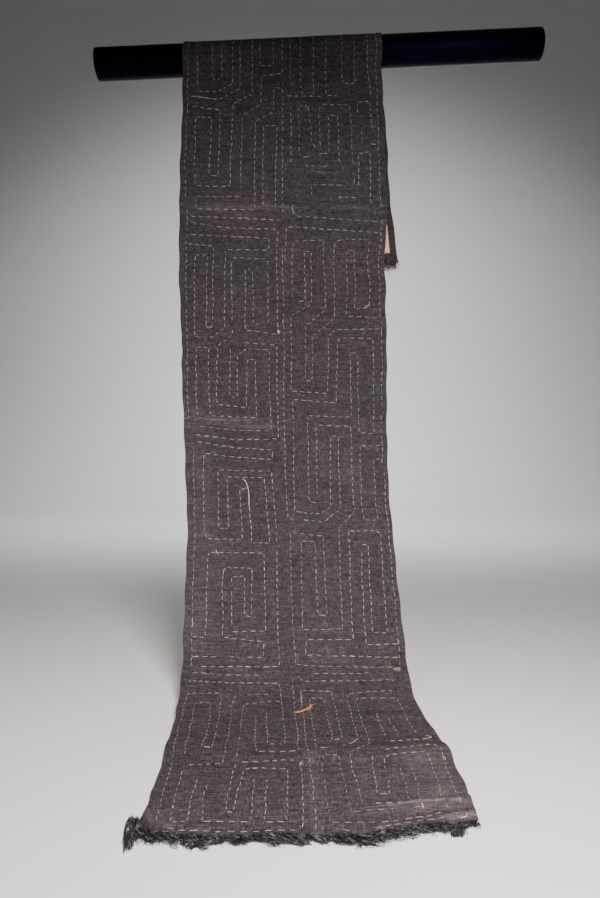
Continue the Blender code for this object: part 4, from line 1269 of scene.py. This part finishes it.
def along_path(path, shares):
    """Points and directions at shares of a path's length."""
    steps = np.linalg.norm(np.diff(path, axis=0), axis=1)
    run = np.concatenate([[0.0], np.cumsum(steps)]) / steps.sum()
    points = np.column_stack([np.interp(shares, run, path[:, axis]) for axis in range(3)])
    k = np.clip(np.searchsorted(run, shares, side="right") - 1, 0, len(steps) - 1)
    return points, ((path[1:] - path[:-1]) / steps[:, None])[k]


def fringe_colours(count, spread):
    """A colour for each strand of a fringe."""
    tints = FRINGE_TINTS[spread.choice(len(FRINGE_TINTS), count, p=FRINGE_SHARES)]
    return tints * spread.normal(1, FRINGE_TINT_SPREAD, (count, 1)).clip(*FRINGE_TINT_LIMITS)


def in_clumps(count, spread, apart, draw, *limits):
    """A number for each strand: near the one that draw gives its clump."""
    shared = np.repeat(draw(*limits, count // CLUMP + 1), CLUMP)[:count]
    return shared + spread.normal(0, apart, count)


def strand_paths(roots, launch, side, lengths, droop, curl, spread):
    """Strands that leave their roots along launch, bend down and curl in clumps to both sides."""
    count = len(roots)
    share = np.linspace(0, 1, STRAND_RINGS)[None, :, None]
    reach, bend, curl = (values[:, None, None] for values in (lengths, droop, curl))
    straight = launch[:, None] * share * (1 - DROOP_LOSS * bend * share) + DOWN * bend * share**2
    turns = in_clumps(count, spread, TURNS_APART, spread.uniform, *CURL_TURNS)[:, None, None]
    phase = in_clumps(count, spread, PHASE_APART, spread.uniform, 0, math.tau)[:, None, None]
    lean = in_clumps(count, spread, LEAN_APART, spread.normal, 0, CLUMP_LEAN)[:, None, None]
    wave = np.sin(math.tau * turns * share + phase) - np.sin(phase)
    second = np.cos(math.tau * turns * share + phase) - np.cos(phase)
    sideways = side[:, None] * curl * (lean * share + CURL_SIDEWAYS * wave)
    return roots[:, None] + reach * (straight + sideways + launch[:, None] * curl * CURL_ALONG * second)


def drawn_in(x, end, side):
    """Places across, those past an end of the fringe (side -1 left, 1 right) drawn in towards it."""
    return np.where(side * (x - end) > 0, end + PAST_END_SHARE * (x - end), x)


def front_heading():
    """The line that the front fringe is sewn along, as two paths: the loose tail and the front end."""
    across = np.linspace(-1.0, HEADING_RIGHT, FRONT_HEADING_POINTS)
    path = underside(np.full_like(across, CLOTH_LENGTH), across)
    along = unit(np.gradient(path, axis=0))
    path[:, :2] += np.column_stack([along[:, 1], -along[:, 0]]) * (HEADING_RADIUS + 2 * PIECE_GAP)
    path[:, 2] = HEADING_RADIUS
    tail = np.array([path[0] - (left, forward, 0) for left, forward in FRONT_TAIL])
    return tail, path


def tilted(level, rise):
    """Level directions turned upward by an angle each."""
    return unit(level) * np.cos(rise)[:, None] - DOWN * np.sin(rise)[:, None]


def front_strands(front, count, spread):
    """The strands along the front end: clumps of curls, and a straight tuft near the right end."""
    places = in_clumps(count, spread, FRONT_PLACES_APART, spread.random).clip(0, 1)
    roots, _ = along_path(front, places)
    across = -1 + (roots[:, 0] - front[0, 0]) / (front[-1, 0] - front[0, 0]) * (1 + HEADING_RIGHT)
    tuft = (across > STRAIGHT_TUFT[0]) & (across < STRAIGHT_TUFT[1])
    places[tuft] = spread.uniform(places[tuft].min(), places[tuft].max(), tuft.sum())
    roots, along = along_path(front, places)
    ahead = np.column_stack([along[:, 1], -along[:, 0], np.zeros(count)]) * 0.5 + FORWARD * 0.5
    reach = np.interp(across, *zip(*FRINGE_REACH))
    shares = in_clumps(count, spread, LENGTHS_APART, spread.uniform, *FRONT_LENGTHS)
    lengths = reach * shares.clip(*FRONT_LENGTH_LIMITS)
    rise = in_clumps(count, spread, RISE_APART, spread.uniform, *FRONT_RISE)
    rise = rise * np.interp(across, *zip(*LEFT_RISE))
    curl = np.ones(count)
    lengths[tuft], rise[tuft], curl[tuft] = reach[tuft], rise[tuft] * TUFT_RISE, TUFT_CURL
    ahead[across > STRAIGHT_TUFT[0]] = RIGHT_END_LEAN
    return roots, tilted(ahead, np.radians(rise)), along, lengths, curl


def corner_curls(corner, count, spread):
    """Curls that stand up and lie back beside the cloth's left corner."""
    x, y = spread.uniform(*CORNER_X, count), spread.uniform(*CORNER_Y, count)
    shift = np.column_stack([x, y, np.full(count, CORNER_Z)])
    turn = in_clumps(count, spread, DIRECTION_APART, spread.uniform, 0, math.tau)
    level = np.column_stack([np.cos(turn), np.sin(turn), np.zeros(count)])
    rise = np.radians(spread.uniform(*CORNER_RISE, count))
    lengths = spread.uniform(*CORNER_LENGTHS, count)
    side, curl = np.roll(level, 1, axis=1), np.full(count, CORNER_CURL)
    return corner + shift, tilted(level, rise), side, lengths, curl


def tail_paths(tail, count, spread):
    """The strands of the loose tail, side by side along it on the floor."""
    beside = spread.random(count)
    first = spread.uniform(*TAIL_STARTS, count)
    last = spread.uniform(*TAIL_ENDS, count) ** TAIL_END_POWER + TAIL_SLANT * beside
    last = last.clip(0, TAIL_END_LIMIT)
    share = np.linspace(0, 1, STRAND_RINGS)
    places = first[:, None] + (last - first)[:, None] * share
    points = along_path(tail, places.ravel())[0].reshape(count, STRAND_RINGS, 3)
    turns, phase = spread.uniform(*TAIL_TURNS, (count, 1)), spread.uniform(0, math.tau, (count, 1))
    waver = spread.uniform(*TAIL_WAVER, (count, 1)) * np.sin(math.tau * turns * share + phase)
    points[..., 0] += beside[:, None] * TAIL_WIDTH * (1 - TAIL_NARROWS * share) + waver
    points[..., 1] = np.maximum(points[..., 1], BAR_MIDDLE.y - FRINGE_END)
    arch = spread.uniform(0, TAIL_ARCH, (count, 1)) * np.sin(math.pi * share)
    points[..., 2] = spread.uniform(*TAIL_HEIGHTS, (count, 1)) + arch
    return points


def pale_paths():
    """The single pale strands that lie on the front fringe and beside it."""
    middle = np.array(BAR_MIDDLE)
    paths = []
    for strand in PALE_STRANDS:
        points = [(middle[0] + right, middle[1] - forward, PALE_STRAND_HEIGHT) for right, forward in strand]
        paths.append(smooth_path(points, STRAND_RINGS))
    return np.array(paths)


def strand_tubes(name, centres, colours, finer, spread, material):
    """Flat raffia strands along centres, thinner towards their tips."""
    radii = STRAND_RADIUS * spread.uniform(*STRAND_RADII, (len(centres), 1))
    radii = radii * np.linspace(1, TIP_SHARE, STRAND_RINGS) * finer[:, None]
    return add_tubes(name, centres, radii, STRAND_SIDES, colours, material, STRAND_FLATTEN)


def add_front_fringe(material):
    """The frayed raffia of the front end, with its loose tail."""
    spread = np.random.default_rng(FRONT_FRINGE_SEED)
    tail, front = front_heading()
    groups = (front_strands(front, FRONT_STRANDS, spread), corner_curls(front[0], CORNER_CURLS, spread))
    roots, launch, side, lengths, curl = (np.concatenate(parts) for parts in zip(*groups))
    count = len(roots)
    roots = roots + np.column_stack([np.zeros((count, 2)), spread.uniform(*FRONT_ROOT_HEIGHTS, count)])
    droop = spread.uniform(*FRONT_DROOP, count)
    centres = strand_paths(roots, launch, side, lengths, droop, curl, spread)
    centres[..., 0] = drawn_in(centres[..., 0], front[-1, 0] + FRONT_OVERHANG, 1)
    centres[..., 0] = drawn_in(centres[..., 0], tail[:, 0].min(), -1)
    floor = FLOOR_STRAND_HEIGHT + spread.uniform(0, FLOOR_STRAND_SPREAD, (count, 1))
    over_cloth = centres[..., 1] > roots[:, 1:2] + BEHIND_ROOT
    over_cloth &= centres[..., 0] > front[0, 0] - LEFT_OF_CORNER
    centres[..., 2] = np.maximum(centres[..., 2], np.where(over_cloth, OVER_CLOTH_HEIGHT, floor))
    centres = np.concatenate([centres, tail_paths(tail, TAIL_STRANDS, spread), pale_paths()])
    colours = fringe_colours(len(centres), spread)
    colours[FRONT_STRANDS:] *= TAIL_PALER
    colours[-len(PALE_STRANDS):] = PALE_TINT
    finer = np.ones(len(centres))
    finer[FRONT_STRANDS:-len(PALE_STRANDS)] = TAIL_FINER
    return strand_tubes("front_fringe_strands", centres, colours, finer, spread, material)


def back_heading():
    """The line that the back fringe is sewn along, just below the back end."""
    across = np.linspace(-1.0, 1.0, BACK_HEADING_POINTS)
    end = underside(np.zeros_like(across), across)
    down = unit(end - underside(np.full_like(across, HEM_WIDTH), across))
    return end + down * (HEADING_RADIUS + PIECE_GAP) + outward(np.zeros_like(across), across) * HEADING_RADIUS


def add_back_fringe(material):
    """The frayed raffia along the back end, hanging."""
    spread = np.random.default_rng(BACK_FRINGE_SEED)
    count = BACK_STRANDS
    places = in_clumps(count, spread, BACK_PLACES_APART, spread.random).clip(0, 1)
    roots, along = along_path(back_heading(), places)
    down = np.column_stack([along[:, 2], np.zeros(count), -along[:, 0]])
    roots = roots - down * BACK_ROOTS_UP - BACKWARD * BACK_ROOTS_IN
    clumps = soft_noise(roots[:, 0], roots[:, 0] * 0, BACK_CLUMP_SIZE, BACK_CLUMP_SEED)
    stand = in_clumps(count, spread, STAND_APART, spread.normal, BACK_STAND, BACK_STAND_SPREAD)
    stand = np.radians(stand).clip(*BACK_STAND_LIMITS)
    launch = down * np.cos(stand)[:, None] + BACKWARD * np.sin(stand)[:, None]
    shortest, longer = BACK_CLUMP_LENGTHS
    lengths = spread.uniform(*BACK_LENGTHS, count) * (shortest + longer * clumps)
    droop = spread.uniform(*BACK_DROOP, count)
    centres = strand_paths(roots, launch, along, lengths, droop, np.full(count, BACK_CURL), spread)
    centres[..., 0] = drawn_in(centres[..., 0], roots[:, 0].max() + BACK_OVERHANG, 1)
    colours = fringe_colours(count, spread) * BACK_FRINGE_PALER
    return strand_tubes("back_fringe_strands", centres, colours, np.ones(count), spread, material)


def add_headings(material):
    """The two heading cords that the strands are worked into. Each begins thin."""
    place = np.arange(HEADING_RINGS)
    swell = 1 + HEADING_SWELL * np.sin(place * HEADING_SWELL_TURN)
    radii = (HEADING_RADIUS * HEADING_SHARE * swell * np.interp(place, *zip(*HEADING_START)))[None]
    pieces = []
    for name, path in (("front", np.concatenate(front_heading())), ("back", back_heading())):
        centres = smooth_path(path, HEADING_RINGS)[None]
        tints = FRINGE_TINTS[1:2]
        pieces.append(add_tubes(name + "_fringe_heading", centres, radii, HEADING_SIDES, tints, material))
    return pieces


# The bar

BAR_ROUND = 72
BAR_COVER_STEP = 0.008
# How uneven the cover is, its bumps' size, how far their noise is taken along and turned aside around the bar
COVER_UNEVEN, COVER_BUMP = 0.0004, 0.03
COVER_ALONG, COVER_ASIDE = 2, 0.025
# Each end's flat face: the radii of its rings, the turns of its rounded rim, and the pleats gathered in it
CAP_RADII = (0.0015, 0.012, 0.024, 0.034, 0.040)
RIM_TURNS = np.radians([0, 30, 60, 90])
PLEATS = 18
PLEAT_DEPTH = 0.0005
PLEAT_RADIUS = 0.041
PLEAT_RIM = 0.001


def add_bar_cover(material):
    """The bar's padded cover: a tube a little uneven within the bar's own size, gathered in at its ends."""
    half = BAR_LENGTH / 2
    count = round(2 * (half - BAR_RIM) / BAR_COVER_STEP)
    end = [(-half, radius) for radius in CAP_RADII]
    for t in RIM_TURNS:
        end.append((-half + BAR_RIM * (1 - math.cos(t)), BAR_RADIUS - BAR_RIM * (1 - math.sin(t))))
    straight = [(-half + BAR_RIM + 2 * (half - BAR_RIM) * i / count, BAR_RADIUS) for i in range(1, count)]
    profile = np.array(end + straight + [(-x, radius) for x, radius in reversed(end)])
    x, radius = np.repeat(profile, BAR_ROUND, axis=0).T
    turn = np.tile(np.arange(BAR_ROUND) * math.tau / BAR_ROUND, len(profile))
    around = turn * BAR_RADIUS + COVER_ASIDE * np.cos(turn)
    radius = radius - COVER_UNEVEN * soft_noise(x + COVER_ALONG, around, COVER_BUMP, COVER_SEED)
    pleats = PLEAT_DEPTH * (0.5 + 0.5 * np.cos(turn * PLEATS)) * (radius < PLEAT_RADIUS)
    x = x - np.sign(x) * pleats * smooth(np.abs(x), half - PLEAT_RIM, half)
    spokes = np.cos(turn)[:, None] * BAR_UP + np.sin(turn)[:, None] * BAR_FRONT
    points = np.array(BAR_MIDDLE) + x[:, None] * BAR_ALONG + radius[:, None] * spokes
    return add_closed_tubes("bar_cover", points.reshape(1, len(profile), BAR_ROUND, 3), material, turned=True)


# The studio

CAMERA_BACK = 2.11
CAMERA_LEFT = 0.0565
CAMERA_HEIGHT = 0.65
LENS = 28
SENSOR_WIDTH = 36
FAR = 80
SWEEP_FRONT, SWEEP_BACK, SWEEP_HALF, SWEEP_TOP, SWEEP_BEND = -9.0, 5.5, 11.0, 9.0, 2.5
SWEEP_BELOW = 0.0002
WORLD_COLOUR = (0.93, 0.95, 1.0, 1)
WORLD_STRENGTH = 0.085
# The lights: where each is, what it is aimed at, width and height, power, colour, and spread in degrees
LIGHTS = (
    ("key", (0.5, -1.8, 1.7), (0.0, -0.35, 0.0), (0.8, 0.8), 40, (1.0, 0.97, 0.95), 96),
    ("fill", (-1.5, -2.2, 1.1), (0.0, 0.2, 0.15), (1.4, 1.4), 10, (0.96, 0.97, 1.0), 120),
    ("upper", (0.6, -1.7, 1.5), (0.15, 0.4, 1.42), (0.9, 0.1), 0.38, (0.93, 0.97, 1.0), 20),
    ("glance", (0.55, -1.6, 1.55), (0.40, 0.45, 1.86), (0.3, 0.3), 0.30, (1.0, 1.0, 1.0), 14),
    ("behind", (0.5, 3.2, 2.8), (0.0, 0.4, 1.0), (2.0, 2.0), 30, (1.0, 1.0, 1.0), 180),
    ("backdrop", (0.0, 2.6, 4.6), (0.0, 6.8, 0.6), (3.0, 3.0), 200, (1.0, 1.0, 1.0), 110),
)


def add_camera():
    """The camera that the photo was solved for."""
    data = bpy.data.cameras.new("view")
    data.lens = LENS
    data.sensor_width = SENSOR_WIDTH
    data.clip_end = FAR
    camera = bpy.data.objects.new("view", data)
    camera.location = (BAR_MIDDLE.x - CAMERA_LEFT, BAR_MIDDLE.y - CAMERA_BACK, CAMERA_HEIGHT)
    camera.rotation_euler = (math.pi / 2, 0, 0)
    bpy.context.scene.collection.objects.link(camera)
    bpy.context.scene.camera = camera


def add_sweep(material):
    """A pale floor that curves up into a backdrop far behind."""
    bend = [math.radians(a) for a in range(0, 91, 6)]
    profile = [(SWEEP_FRONT, 0.0)]
    profile += [(SWEEP_BACK + SWEEP_BEND * math.sin(a), SWEEP_BEND * (1 - math.cos(a))) for a in bend]
    profile.append((SWEEP_BACK + SWEEP_BEND, SWEEP_TOP))
    points = np.array([(x, y, z - SWEEP_BELOW) for y, z in profile for x in (-SWEEP_HALF, SWEEP_HALF)])
    faces = [(row, row + 1, row + 3, row + 2) for row in range(0, 2 * len(profile) - 2, 2)]
    new_object("studio_sweep", points, faces, material)


def add_lights():
    """The studio's even light and its lamps."""
    world = bpy.data.worlds.new("studio")
    world.use_nodes = True
    background = world.node_tree.nodes["Background"]
    background.inputs["Color"].default_value = WORLD_COLOUR
    background.inputs["Strength"].default_value = WORLD_STRENGTH
    bpy.context.scene.world = world
    for name, place, aim, size, power, colour, spread in LIGHTS:
        data = bpy.data.lights.new(name, "AREA")
        data.shape = "RECTANGLE"
        data.size, data.size_y = size
        data.energy = power
        data.color = colour
        data.spread = math.radians(spread)
        light = bpy.data.objects.new(name, data)
        light.location = place
        light.rotation_euler = (Vector(aim) - Vector(place)).to_track_quat("-Z", "Y").to_euler()
        bpy.context.scene.collection.objects.link(light)


def main():
    """Build every piece, the studio, the lights and the camera."""
    dyed = raffia_cloth_material("raffia_dyed", *DYED)
    undyed = raffia_cloth_material("raffia_undyed", *UNDYED)
    thread = thread_material("raffia_thread", 900, specular=0.3)
    frayed = thread_material("raffia_frayed", 700, specular=0.35)

    sheets = {}
    for panel in PANELS:
        sheets[panel["node"]] = sheet = add_sheet(panel, dyed, undyed)
        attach(sheet, "root")
        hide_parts(panel["node"])
    for piece in add_stitches(thread) + [add_loose_threads(thread)]:
        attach(piece, "root")
    front, back = add_front_fringe(frayed), add_back_fringe(frayed)
    headings = add_headings(frayed)
    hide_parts("fringe_front")
    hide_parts("fringe_back")
    for piece in [front, back] + headings:
        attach(piece, "root")
    cover = add_bar_cover(bar_material())
    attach(cover, "root")
    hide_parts("bar")

    add_camera()
    add_sweep(stage_material())
    add_lights()


main()
